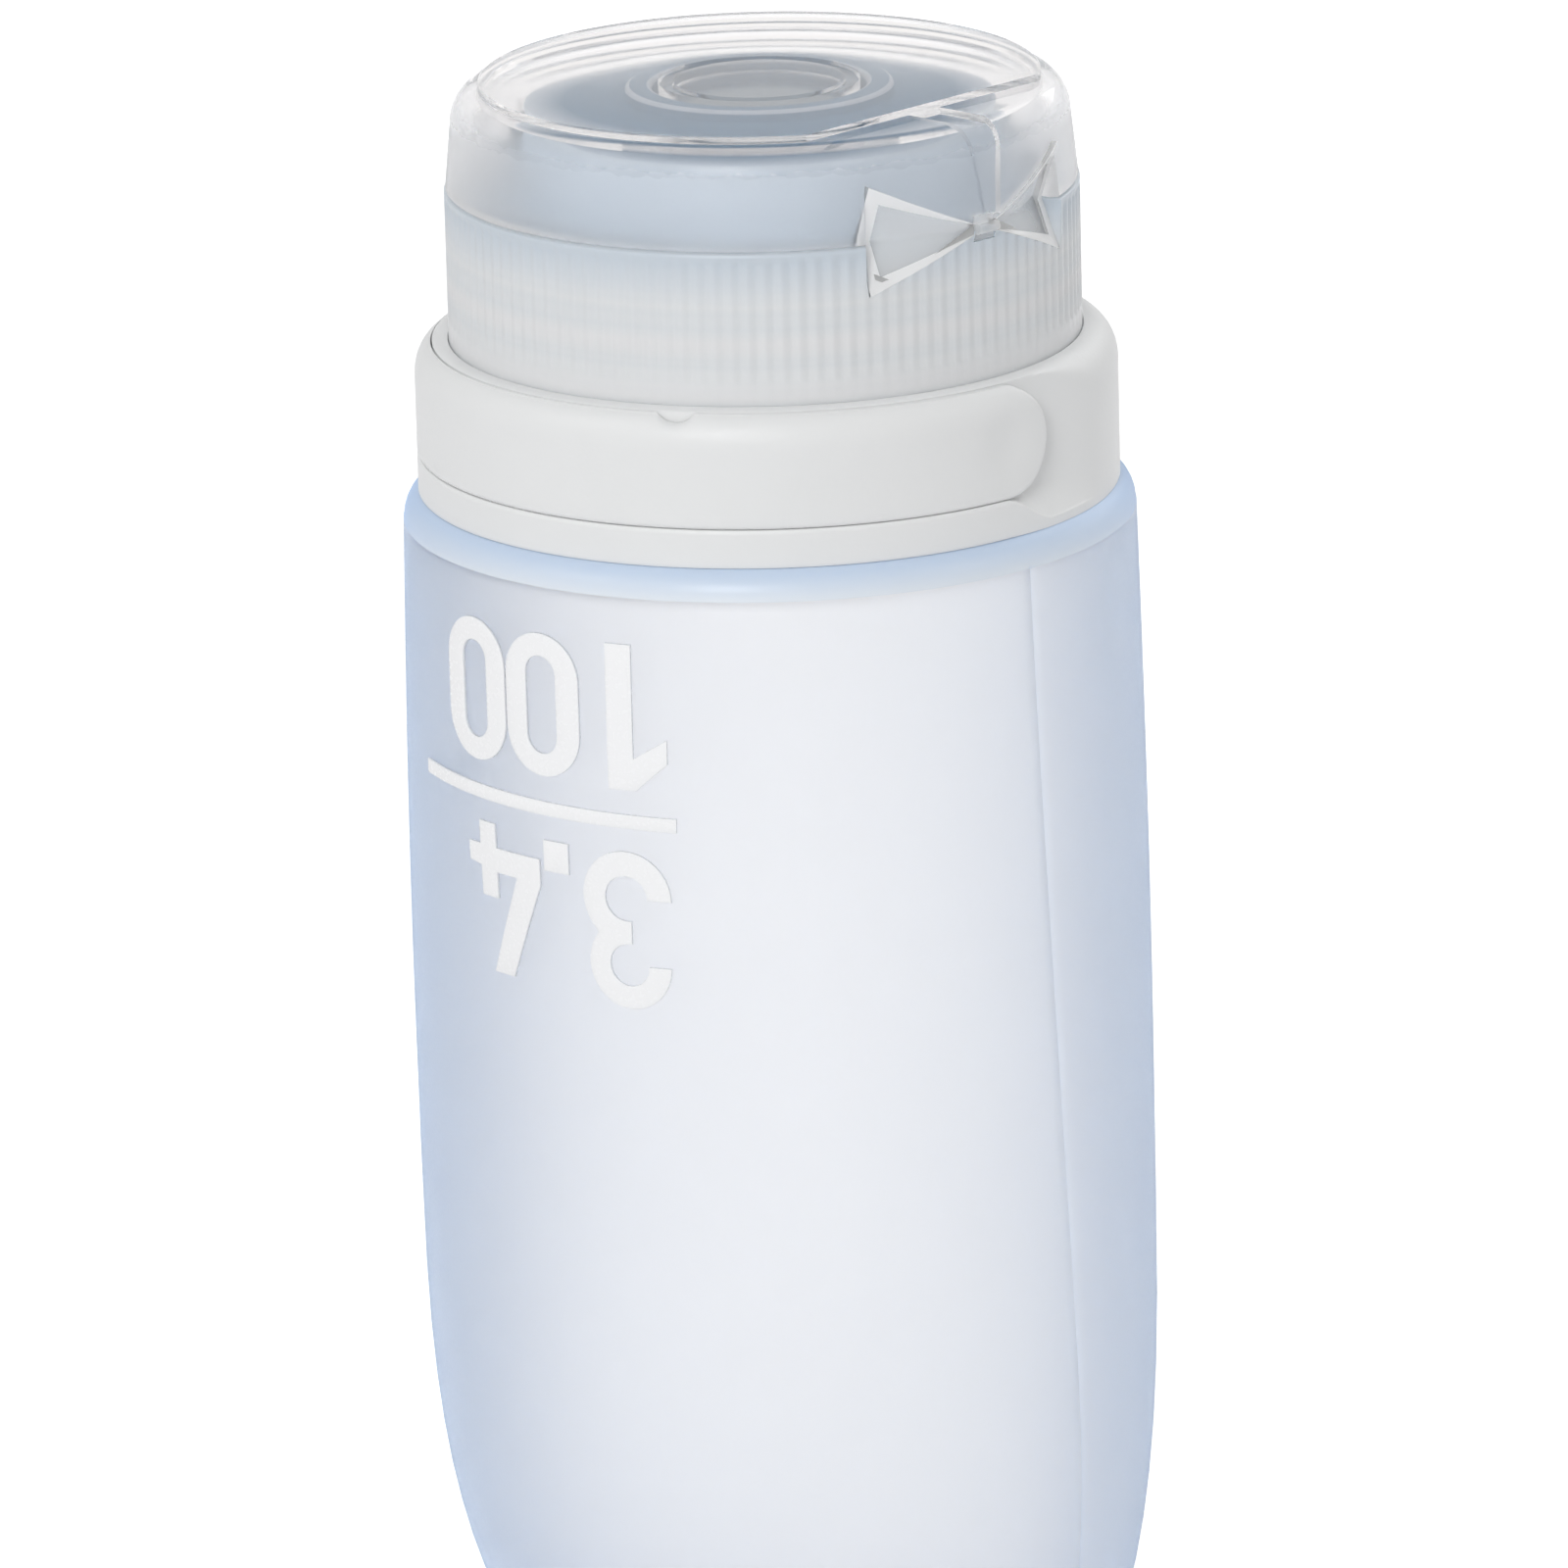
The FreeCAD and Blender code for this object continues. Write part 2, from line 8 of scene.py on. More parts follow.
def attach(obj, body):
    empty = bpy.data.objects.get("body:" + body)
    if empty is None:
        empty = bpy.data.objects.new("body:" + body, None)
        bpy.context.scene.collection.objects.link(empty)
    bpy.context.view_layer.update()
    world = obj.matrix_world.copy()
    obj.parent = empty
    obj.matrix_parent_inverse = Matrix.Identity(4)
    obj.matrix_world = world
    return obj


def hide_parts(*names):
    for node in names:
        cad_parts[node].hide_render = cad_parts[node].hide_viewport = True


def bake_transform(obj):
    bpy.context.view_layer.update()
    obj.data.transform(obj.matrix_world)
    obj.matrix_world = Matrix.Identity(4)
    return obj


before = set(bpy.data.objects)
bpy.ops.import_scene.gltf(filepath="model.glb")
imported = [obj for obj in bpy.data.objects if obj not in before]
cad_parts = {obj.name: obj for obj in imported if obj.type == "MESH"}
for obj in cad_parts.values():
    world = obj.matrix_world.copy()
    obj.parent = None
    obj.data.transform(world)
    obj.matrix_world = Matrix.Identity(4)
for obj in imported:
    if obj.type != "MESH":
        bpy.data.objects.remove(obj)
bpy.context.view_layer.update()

# Squeeze body: a soft bottle of frosted blue silicone, round under the collar and oval at its foot,
# with a hair-thin parting ridge down each narrow side. The bead of its neck snaps into the collar.
# Pieces are drawn in mm, with heights counted from the collar's lower edge.
body_length = 86.0
full_length = 86.6
top_radius = 22.95
bulge_radius = 23.47
bulge_depth = 36.0
end_half_thickness = 17.3
flattening_power = 1.6
dome_start = 45.0
dome_power = 3.0
body_wall = 2.2
hollow_round = 1.2
shoulder_rise = 0.3
shoulder_round = 2.0
waist_radius = 18.4
bead_radius = 20.05
bead_foot = 1.35
bead_top = 8.0
neck_bore = 17.05
neck_edge = 0.3
bead_edge = 0.5
bead_foot_edge = 0.4
thick_depth = 1.8
body_segments = 192
seam_start = 1.5
seam_stop = 80.0
seam_half_width = 0.08
seam_height = 0.05


def body_axes(depth, inset=0.0):
    """Half axes of the oval at a depth below the collar, or those of the hollow inside it."""
    swell = math.sin(math.pi / 2 * min(max(depth, 0.0) / bulge_depth, 1.0))
    mean = top_radius + (bulge_radius - top_radius) * swell
    short = mean - (mean - end_half_thickness) * (max(depth, 0.0) / full_length) ** flattening_power
    wide = math.sqrt(2 * mean ** 2 - short ** 2)
    along = max(0.0, (depth - dome_start) / (full_length - inset - dome_start))
    dome = (1 - along ** dome_power) ** (1 / dome_power)
    return (wide - inset) * dome, (short - inset) * dome


def wall_rings(top_depth, inset):
    """Ovals of one side of the wall, from the shoulder down to the foot."""
    dome_length = full_length - inset - dome_start
    last = (body_length - inset - dome_start) / dome_length
    last_turn = math.asin(last ** (dome_power / 2))
    depths = [top_depth + (dome_start - top_depth) * i / 10 for i in range(10)]
    for i in range(19):
        depths.append(dome_start + dome_length * math.sin(last_turn * i / 18) ** (2 / dome_power))
    return [body_axes(depth, inset) + (-depth,) for depth in depths]


def quarter(radius, height, round_width, round_height, count):
    """Points of a rounded shoulder, from its top to its side."""
    points = []
    for i in range(count + 1):
        turn = math.pi / 2 * i / count
        points.append((radius - round_width + round_width * math.sin(turn),
                       height - round_height + round_height * math.cos(turn)))
    return points


def settle(piece, smooth_angle=35.0):
    """Leaves edit mode and turns mm above the collar's edge into metres above the table."""
    if piece.mode == "EDIT":
        bpy.ops.object.mode_set(mode="OBJECT")
    bpy.ops.object.select_all(action="DESELECT")
    piece.select_set(True)
    bpy.context.view_layer.objects.active = piece
    piece.scale = (0.001, 0.001, 0.001)
    piece.location = (0.0, 0.0, body_length * 0.001)
    bpy.ops.object.transform_apply(location=True, rotation=True, scale=True)
    bpy.ops.object.shade_smooth_by_angle(angle=math.radians(smooth_angle))


def close_up():
    """Merges points that lie on each other and turns all faces outwards."""
    bpy.ops.mesh.select_all(action="SELECT")
    bpy.ops.mesh.remove_doubles(threshold=0.0005)
    bpy.ops.mesh.normals_make_consistent(inside=False)


def pick(piece, wanted, kind="VERT"):
    """Selects the points or edges whose points all pass a test of place."""
    bpy.ops.mesh.select_mode(type=kind)
    bpy.ops.mesh.select_all(action="DESELECT")
    mesh = bmesh.from_edit_mesh(piece.data)
    for item in mesh.verts if kind == "VERT" else mesh.edges:
        points = [item] if kind == "VERT" else item.verts
        item.select = all(wanted(point.co) for point in points)
    mesh.select_flush_mode()
    bmesh.update_edit_mesh(piece.data)


hollow_top = shoulder_rise - body_wall
inner_rings = wall_rings(hollow_round - hollow_top, body_wall)
corner = quarter(top_radius - body_wall, hollow_top, hollow_round, hollow_round, 5)
shoulder = quarter(top_radius, shoulder_rise, shoulder_round, shoulder_round, 8)
chain = list(reversed(inner_rings))
chain += [(radius, radius, height) for radius, height in reversed(corner[:-1])]
chain += [(radius, radius, height) for radius, height in (
    (neck_bore + neck_edge, hollow_top), (neck_bore, hollow_top + neck_edge),
    (neck_bore, bead_top - neck_edge), (neck_bore + neck_edge, bead_top),
    (bead_radius - bead_edge, bead_top), (bead_radius, bead_top - bead_edge),
    (bead_radius, bead_foot + bead_foot_edge), (bead_radius - bead_foot_edge, bead_foot),
    (waist_radius, bead_foot), (waist_radius, shoulder_rise))]
chain += [(radius, radius, height) for radius, height in shoulder]
chain.append(body_axes(thick_depth) + (-thick_depth,))
chain += wall_rings(-shoulder_rise + shoulder_round, 0.0)[1:]

bpy.ops.object.select_all(action="DESELECT")
bpy.ops.mesh.primitive_circle_add(vertices=body_segments, radius=1.0, fill_type="TRIFAN")
squeeze_body = bpy.context.object
squeeze_body.name = "squeeze_body"
bpy.ops.object.mode_set(mode="EDIT")
bpy.ops.transform.resize(value=(chain[0][0], chain[0][1], 1.0), center_override=(0.0, 0.0, 0.0))
bpy.ops.transform.translate(value=(0.0, 0.0, chain[0][2]))
bpy.ops.mesh.region_to_loop()
for last, ring in zip(chain, chain[1:]):
    bpy.ops.mesh.extrude_edges_move(TRANSFORM_OT_translate={"value": (0.0, 0.0, ring[2] - last[2])})
    bpy.ops.transform.resize(
        value=(ring[0] / last[0], ring[1] / last[1], 1.0), center_override=(0.0, 0.0, ring[2]))
bpy.ops.mesh.extrude_edges_move()
bpy.ops.mesh.merge(type="CENTER")
close_up()
for side in (1.0, -1.0):
    def on_seam(point):
        if abs(point.y) > 0.001 or not -seam_stop < point.z < -seam_start:
            return False
        return side * point.x > body_axes(-point.z, body_wall / 2)[0]

    pick(squeeze_body, on_seam, "EDGE")
    bpy.ops.mesh.bevel(offset=seam_half_width, segments=2, affect="EDGES")
    pick(squeeze_body, on_seam)
    bpy.ops.transform.translate(value=(side * seam_height, 0.0, 0.0))
settle(squeeze_body)


# Fine grain and slow mottling of a moulded surface, shared by all the moulded materials
grain_group = bpy.data.node_groups.new("moulded_surface", "ShaderNodeTree")
for socket_name, default in (("Grain Size", 4000.0), ("Mottle Size", 90.0)):
    socket = grain_group.interface.new_socket(socket_name, in_out="INPUT", socket_type="NodeSocketFloat")
    socket.default_value = default
for socket_name in ("Grain", "Mottle"):
    grain_group.interface.new_socket(socket_name, in_out="OUTPUT", socket_type="NodeSocketFloat")
group_in = grain_group.nodes.new("NodeGroupInput")
group_out = grain_group.nodes.new("NodeGroupOutput")
group_place = grain_group.nodes.new("ShaderNodeTexCoord")
for output, size_input, detail in (("Grain", "Grain Size", 2.0), ("Mottle", "Mottle Size", 4.0)):
    speckle = grain_group.nodes.new("ShaderNodeTexNoise")
    speckle.inputs["Detail"].default_value = detail
    grain_group.links.new(group_place.outputs["Object"], speckle.inputs["Vector"])
    grain_group.links.new(group_in.outputs[size_input], speckle.inputs["Scale"])
    grain_group.links.new(speckle.outputs["Fac"], group_out.inputs[output])


def mapped(add, link, source, low, high, start=0.0, stop=1.0):
    """A value that goes from start to stop while its source goes from low to high."""
    zone = add("ShaderNodeMapRange")
    for socket, value in (("From Min", low), ("From Max", high), ("To Min", start), ("To Max", stop)):
        zone.inputs[socket].default_value = value
    link(source, zone.inputs["Value"])
    return zone.outputs["Result"]


def fade(add, link, shader, colour, share, other):
    """Fades a colour into another plain one and hands it to the shader."""
    mixed = add("ShaderNodeMix")
    mixed.data_type = "RGBA"
    mixed.inputs["B"].default_value = other + (1.0,)
    link(share, mixed.inputs["Factor"])
    link(colour, mixed.inputs["A"])
    link(mixed.outputs["Result"], shader.inputs["Base Color"])
    return mixed.outputs["Result"]


def height_share(add, link, low, high, start=0.0, stop=1.0):
    """A value that goes from start to stop between two heights over the collar's edge."""
    place = add("ShaderNodeTexCoord")
    parts = add("ShaderNodeSeparateXYZ")
    link(place.outputs["Object"], parts.inputs["Vector"])
    return mapped(add, link, parts.outputs["Z"], (body_length + low) * 0.001,
                  (body_length + high) * 0.001, start, stop)


def moulded(name, pale, deep, gloss, bump, grain_size, plain=()):
    """A moulded material: mottled between two colours, its gloss between two roughnesses, with a
    fine grain. Plain holds the shader's sockets that are the same all over."""
    material = bpy.data.materials.new(name)
    material.use_nodes = True
    add, link = material.node_tree.nodes.new, material.node_tree.links.new
    shader = material.node_tree.nodes["Principled BSDF"]
    for socket, value in dict(plain).items():
        shader.inputs[socket].default_value = value
    surface = add("ShaderNodeGroup")
    surface.node_tree = grain_group
    surface.inputs["Grain Size"].default_value = grain_size
    tint = add("ShaderNodeMix")
    tint.data_type = "RGBA"
    tint.inputs["A"].default_value = pale + (1.0,)
    tint.inputs["B"].default_value = deep + (1.0,)
    link(surface.outputs["Mottle"], tint.inputs["Factor"])
    link(tint.outputs["Result"], shader.inputs["Base Color"])
    link(mapped(add, link, surface.outputs["Grain"], 0.3, 0.7, *gloss), shader.inputs["Roughness"])
    relief = add("ShaderNodeBump")
    relief.inputs["Strength"].default_value = bump
    relief.inputs["Distance"].default_value = 0.0001
    link(surface.outputs["Grain"], relief.inputs["Height"])
    link(relief.outputs["Normal"], shader.inputs["Normal"])
    return material, add, link, shader, tint.outputs["Result"]


silicone_gloss = (0.28, 0.36)
silicone_ior = 1.41
silicone, add, link = moulded(
    "frosted_blue_silicone", (0.995, 0.985, 0.975), (0.98, 0.97, 0.965), silicone_gloss, 0.06, 5000.0,
    {"Transmission Weight": 0.95, "IOR": silicone_ior, "Sheen Weight": 0.62, "Sheen Roughness": 0.58,
     "Sheen Tint": (0.36, 0.56, 0.88, 1.0)})[:3]
depth_tint = add("ShaderNodeVolumeAbsorption")
depth_tint.inputs["Color"].default_value = (0.40, 0.65, 0.92, 1.0)
depth_tint.inputs["Density"].default_value = 20.0
link(depth_tint.outputs["Volume"], silicone.node_tree.nodes["Material Output"].inputs["Volume"])
squeeze_body.data.materials.append(silicone)
# Under the collar the silicone is solid from the wall to the neck, so it is milky and bluer there; its top
# is also painted a deeper blue as shade under the collar
milky_band_with_painted_shade, add, link, shader, colour = moulded(
    "milky_silicone_painted_collar_shade", (0.84, 0.885, 0.94), (0.81, 0.86, 0.925), silicone_gloss, 0.06, 5000.0,
    {"IOR": silicone_ior, "Subsurface Weight": 0.6, "Subsurface Radius": (0.002, 0.002, 0.002),
     "Sheen Weight": 1.0, "Sheen Roughness": 0.5, "Sheen Tint": (0.30, 0.50, 0.84, 1.0)})
fade(add, link, shader, colour, height_share(add, link, -thick_depth, -0.3), (0.63, 0.735, 0.88))
squeeze_body.data.materials.append(milky_band_with_painted_shade)
for face in squeeze_body.data.polygons:
    x, y, height = face.center * 1000.0
    if height > body_length - thick_depth and math.hypot(x, y) > top_radius - shoulder_round:
        face.material_index = 1
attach(squeeze_body, "bottle")
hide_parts("bottle_body")

# Volume numbers: plain raised figures on the broad face, polished in the mould, so they look
# whiter than the frosted wall. They read the right way up when the bottle hangs cap down,
# with a bar between the two rows.
mm_per_degree = 0.405
figure_height = 0.2
figure_edge = 0.04
figure_gap = 0.01
stroke = 1.7


def arc(x, z, radius, start, stop, count=24):
    """Points of an arc in the plane of the figures."""
    points = []
    for i in range(count + 1):
        turn = math.radians(start + (stop - start) * i / count)
        points.append((x + radius * math.cos(turn), z + radius * math.sin(turn)))
    return points


def across(angle):
    """Distance along the wall from the middle of the broad face."""
    return (angle + 90.0) * mm_per_degree


def ring_point(radius, angle, height):
    """A point at a distance and an angle in degrees around the bottle's axis."""
    turn = math.radians(angle)
    return radius * math.cos(turn), radius * math.sin(turn), height


def long_round(x, low, high, radius):
    """A loop with straight sides and round ends."""
    return arc(x, high - radius, radius, 0.0, 180.0) + arc(x, low + radius, radius, 180.0, 360.0)


row_top, row_foot = -4.7, -13.85
outlines = []
for angle in (-81.9, -96.5):
    outlines.append([
        long_round(across(angle), row_foot, row_top, 2.87),
        long_round(across(angle), row_foot + 1.45, row_top - 1.45, 2.87 - stroke),
    ])
one_left, one_right, flag = across(-70.0), across(-65.7), across(-60.2)
outlines.append([[
    (one_left, row_top), (one_right, row_top), (one_right, -11.95), (flag, -10.6), (flag, -12.15),
    (across(-65.4), -14.0), (one_left, -14.0)]])
outlines.append([[
    (across(-113.0), -15.35), (across(-59.0), -15.6), (across(-59.0), -16.5), (across(-113.0), -16.25)]])
upper, lower = (across(-67.7), -21.0), (across(-67.5), -25.3)
three = arc(*upper, 3.05, 0.0, 225.0) + arc(*lower, 2.85, 138.0, 360.0)
three += arc(*lower, 1.35, 360.0, 90.0)
three += [(across(-66.9), -23.92), (across(-66.9), -22.45)]
three += arc(*upper, 1.45, 270.0, 0.0)
outlines.append([three])
outlines.append([[
    (across(-82.6), -18.0), (across(-77.8), -18.0), (across(-77.8), -20.0), (across(-82.6), -20.0)]])
stem_left, stem_right = across(-97.0), across(-93.2)
outlines.append([[
    (stem_left, -17.8), (stem_right, -17.8), (stem_right, -19.35), (across(-83.6), -19.35),
    (across(-83.6), -21.1), (across(-90.6), -27.55), (across(-95.2), -27.55), (across(-88.6), -20.95),
    (stem_right, -20.95), (stem_right, -22.65), (stem_left, -22.65), (stem_left, -20.75),
    (across(-100.0), -20.6), (across(-100.0), -19.35), (stem_left, -19.35)]])

figure_curve = bpy.data.curves.new("volume_numbers", "CURVE")
figure_curve.dimensions = "2D"
figure_curve.fill_mode = "BOTH"
figure_curve.extrude = figure_height / 2 - figure_edge
figure_curve.bevel_depth = figure_edge
figure_curve.bevel_resolution = 1
figure_curve.offset = -figure_edge
for loops in outlines:
    for loop in loops:
        spline = figure_curve.splines.new("POLY")
        spline.points.add(len(loop) - 1)
        spline.use_cyclic_u = True
        for point, (x, z) in zip(spline.points, loop):
            point.co = (x, z, 0.0, 1.0)
volume_numbers = bpy.data.objects.new("volume_numbers", figure_curve)
bpy.context.scene.collection.objects.link(volume_numbers)
bpy.ops.object.select_all(action="DESELECT")
volume_numbers.select_set(True)
bpy.context.view_layer.objects.active = volume_numbers
bpy.ops.object.convert(target="MESH")
bpy.ops.object.mode_set(mode="EDIT")
# Cut into narrow strips, so that the figures can follow the wall
for low, high, step, way in ((-10.0, 13.0, 0.8, (1.0, 0.0, 0.0)), (-28.0, -4.0, 2.0, (0.0, 1.0, 0.0))):
    cut = low
    while cut < high:
        bpy.ops.mesh.select_all(action="SELECT")
        bpy.ops.mesh.bisect(plane_co=[cut * part for part in way], plane_no=way)
        cut += step
close_up()
bpy.ops.object.mode_set(mode="OBJECT")
for vertex in volume_numbers.data.vertices:
    x, z, lift = vertex.co
    angle = x / mm_per_degree - 90.0
    wide, short = body_axes(-z)
    x_share, y_share = ring_point(1.0, angle, z)[:2]
    wall = 1.0 / math.hypot(x_share / wide, y_share / short)
    vertex.co = ring_point(wall + figure_gap + figure_height / 2 + lift, angle, z)
settle(volume_numbers, 50.0)
polished = moulded(
    "polished_silicone", (0.975, 0.98, 0.985), (0.95, 0.957, 0.97), (0.22, 0.30), 0.02, 3000.0,
    {"IOR": silicone_ior})[0]
volume_numbers.data.materials.append(polished)
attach(volume_numbers, "bottle")

# Neck ring: a stiff moulded tube pressed into the soft neck, with the outer thread for the cap.
# Its shape comes from the CAD model, and it gets the milky look of natural polypropylene here.
natural_gloss = (0.30, 0.42)
neck_plastic = moulded(
    "milky_neck_plastic", (0.95, 0.96, 0.97), (0.91, 0.93, 0.95), natural_gloss, 0.15, 4000.0,
    {"Transmission Weight": 0.9})[0]


def dress(node, material):
    """Gives a piece that keeps its CAD shape its own material."""
    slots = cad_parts[node].data.materials
    slots.clear()
    slots.append(material)


dress("neck_ring", neck_plastic)

# Collar: a satin white ring of moulded plastic, snapped over the neck bead. A pocket for the loop
# strap is sunk into its outside, and a finger scoop beside the strap's tip helps to lift it.
collar_radius = 22.0
collar_height = 9.72
collar_round_width = 1.7
collar_round_height = 2.2
collar_bore = 20.1
collar_lip = 19.84
collar_columns = 360
pocket_radius = 20.85
band_height = 2.45
root_angle = -165.0
lug_foot = 7.1
lug_angle = 3.0
tip_centre_angle = -1.1
scoop_start = 9.0
scoop_stop = 26.0
scoop_fade = 14.0
scoop_foot = 0.7
band_edge = 0.1
seat_height = 0.35
seat_start = 20.95
seat_round = 2.05
seat_bore = waist_radius + 0.2
ledge_height = 1.25


def turned(name, profile, steps, start_angle=0.0):
    """A piece spun around the bottle's axis from a profile of radius and height, left in edit mode."""
    points = [Vector(ring_point(radius, start_angle, height)) for radius, height in profile]
    bpy.ops.object.select_all(action="DESELECT")
    bpy.ops.mesh.primitive_plane_add(size=1.0)
    piece = bpy.context.object
    piece.name = name
    bpy.ops.object.mode_set(mode="EDIT")
    bpy.ops.mesh.merge(type="CENTER")
    bpy.ops.transform.translate(value=points[0])
    for last, point in zip(points, points[1:]):
        bpy.ops.mesh.extrude_vertices_move(TRANSFORM_OT_translate={"value": point - last})
    bpy.ops.mesh.select_all(action="SELECT")
    bpy.ops.mesh.spin(steps=steps, angle=2 * math.pi, center=(0.0, 0.0, 0.0), axis=(0.0, 0.0, 1.0))
    close_up()
    return piece


def eased(value, low, high):
    """Goes smoothly from 0 to 1 between two values."""
    share = min(max((value - low) / (high - low), 0.0), 1.0)
    return share * share * (3.0 - 2.0 * share)


def outline_radius(height):
    """Radius of the collar's outside at a height, over its rounded shoulder."""
    rise = max(0.0, height - collar_height + collar_round_height) / collar_round_height
    return collar_radius - collar_round_width * (1.0 - math.sqrt(max(0.0, 1.0 - rise * rise)))


collar_side = [0.12, 0.3, 0.6, 1.0, 1.6, 2.1, 2.3, 2.42, 2.45]
pocket_side = [2.47, 2.55, 2.8, 3.4, 4.2, 5.0, 5.8, 6.6, 7.05, 7.15]
pocket_side += [collar_height - collar_round_height * (1.0 - math.sin(math.radians(turn)))
                for turn in (0, 10, 20, 30, 40, 50, 58, 65, 71, 77, 83)]
seat = [(seat_bore, seat_height), (seat_start, seat_height)]
for turn in (6, 12, 18, 24, 28):
    drop = seat_round * (1.0 - math.cos(math.radians(turn)))
    seat.append((seat_start + seat_round * math.sin(math.radians(turn)), seat_height - drop))
collar_profile = seat + [(collar_radius - 0.04, 0.07)]
collar_profile += [(outline_radius(height), height) for height in collar_side + pocket_side]
collar_profile += [
    (collar_radius - collar_round_width, collar_height), (collar_lip + 0.05, collar_height),
    (collar_lip, collar_height - 0.05), (collar_lip, collar_height - 0.5),
    (collar_bore, collar_height - 0.7), (collar_bore, ledge_height), (seat_bore, ledge_height), seat[0]]
collar = turned("collar_ring", collar_profile, collar_columns)
bpy.ops.object.mode_set(mode="OBJECT")
for vertex in collar.data.vertices:
    x, y, height = vertex.co
    radius = math.hypot(x, y)
    angle = math.degrees(math.atan2(y, x))
    if angle < root_angle - 1.5:
        angle += 360.0
    if radius < collar_bore + 0.15 or height < 0.05 or angle > scoop_stop + scoop_fade:
        continue
    first = root_angle + (lug_angle if height > lug_foot else 0.0)
    floor = pocket_radius + (collar_radius - pocket_radius) * eased(angle, scoop_start - 4.0, scoop_stop)
    edge_drop = eased(angle, tip_centre_angle - 1.0, scoop_start)
    edge_drop *= 1.0 - eased(angle, scoop_stop - 2.0, scoop_stop + scoop_fade)
    edge = band_height + (scoop_foot - band_height) * edge_drop
    if height <= band_height + 0.001:
        height *= edge / band_height
        if angle > first and edge - height < band_edge:
            radius -= (band_edge - (edge - height)) * min(1.0, (collar_radius - floor) / 0.3)
    elif angle > first + 0.2:
        radius = min(radius, floor)
    vertex.co = ring_point(radius, angle, height)
settle(collar, 40.0)
white_plastic = moulded(
    "satin_white_plastic", (0.86, 0.865, 0.865), (0.82, 0.83, 0.83), (0.36, 0.48), 0.12, 3500.0,
    {"Subsurface Weight": 0.6, "Subsurface Radius": (0.0025, 0.0025, 0.0025)})[0]
collar.data.materials.append(white_plastic)
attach(collar, "bottle")
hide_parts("collar")

# Loop strap: a white strip moulded to lie flush in the collar's pocket. Pegs at its root turn in
# the collar, and its half-round tip has a shallow dish for the thumb.
strap_inner = 20.95
strap_foot = 2.47
strap_top = 9.53
strap_edge = 0.35
tip_radius = (strap_top - strap_foot) / 2
tip_middle = (strap_top + strap_foot) / 2
notch_angle = -59.0
notch_radius = 1.6
notch_depth = 0.6
dish_reach = 2.9
dish_depth = 0.3
strap_rows = 28
tip_steps = 20


def shaped_grid(name, around, along, place, second=None):
    """A grid folded into a closed shape: place gives the point for each step around and along,
    second says which faces get the second material."""
    bpy.ops.object.select_all(action="DESELECT")
    bpy.ops.mesh.primitive_grid_add(x_subdivisions=around, y_subdivisions=along, size=2.0)
    piece = bpy.context.object
    piece.name = name
    for face in piece.data.polygons:
        step_around = (face.center.x + 1.0) / 2.0 * around
        step_along = (face.center.y + 1.0) / 2.0 * along
        if second and second(step_around, step_along):
            face.material_index = 1
    for vertex in piece.data.vertices:
        step_around = round((vertex.co.x + 1.0) / 2.0 * around)
        step_along = round((vertex.co.y + 1.0) / 2.0 * along)
        vertex.co = place(step_around, step_along)
    bpy.ops.object.mode_set(mode="EDIT")
    close_up()
    bpy.ops.mesh.select_all(action="DESELECT")
    bpy.ops.mesh.select_non_manifold()
    bpy.ops.mesh.fill_holes(sides=0)
    close_up()
    return piece


strap_angles = [root_angle + step for step in (-1.2, -0.6, 0.0, 1.5, 3.2, 3.3)]
while strap_angles[-1] < tip_centre_angle - 1.6:
    near_notch = abs(strap_angles[-1] - notch_angle) < 6.0
    strap_angles.append(strap_angles[-1] + (0.4 if near_notch else 1.5))
strap_angles.append(tip_centre_angle)


def strap_point(step_around, step_along):
    """Outer face from foot to top, then the inner face back down."""
    if step_along < len(strap_angles):
        angle, reach = strap_angles[step_along], 0.0
    else:
        swing = math.pi / 2 * (step_along - len(strap_angles) + 1) / tip_steps
        reach = tip_radius * math.sin(swing)
        angle = tip_centre_angle + math.degrees(reach / collar_radius)
    half = math.sqrt(max(0.0, tip_radius ** 2 - reach ** 2))
    low, high = tip_middle - half, tip_middle + half
    if angle < root_angle + 3.25:
        high = lug_foot - 0.1
    away = abs(angle - notch_angle) * math.radians(collar_radius)
    notch = notch_depth - notch_radius + math.sqrt(max(0.0, notch_radius ** 2 - away ** 2))
    high -= max(0.0, notch) if away < notch_radius else 0.0
    outer = step_around <= strap_rows
    row = step_around if outer else 2 * strap_rows + 1 - step_around
    share = math.sin(math.pi / 2 * (2.0 * row / strap_rows - 1.0))
    height = (low + high) / 2 + (high - low) / 2 * share
    rim = min(high - height, height - low)
    if reach > 0.0:
        rim = tip_radius - math.hypot(reach, height - tip_middle)
    if angle < root_angle + 0.1:
        rim = min(rim, 0.4 * (angle - root_angle + 1.2))
    radius = strap_inner
    if outer:
        inset = max(0.0, strap_edge - max(0.0, rim))
        bite = strap_edge - math.sqrt(max(0.0, strap_edge ** 2 - inset ** 2))
        spot = math.hypot((angle - tip_centre_angle) * math.radians(collar_radius), height - tip_middle)
        dish = dish_depth * (1.0 - eased(spot, 0.0, dish_reach))
        radius = max(strap_inner + 0.05, outline_radius(height) - bite - dish)
    return ring_point(radius, angle, height)


loop_strap = shaped_grid("carry_strap", 2 * strap_rows + 2, len(strap_angles) + tip_steps - 1, strap_point)
settle(loop_strap, 50.0)
loop_strap.data.materials.append(white_plastic)
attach(loop_strap, "strap")
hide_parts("loop_strap")

# Gasket: a soft off-white seal ring between the neck ring's rim and the cap, hidden inside.
# Its shape comes from the CAD model.
seal_rubber = moulded(
    "soft_seal_rubber", (0.80, 0.81, 0.82), (0.74, 0.75, 0.77), (0.5, 0.65), 0.2, 4000.0)[0]
dress("cap_gasket", seal_rubber)

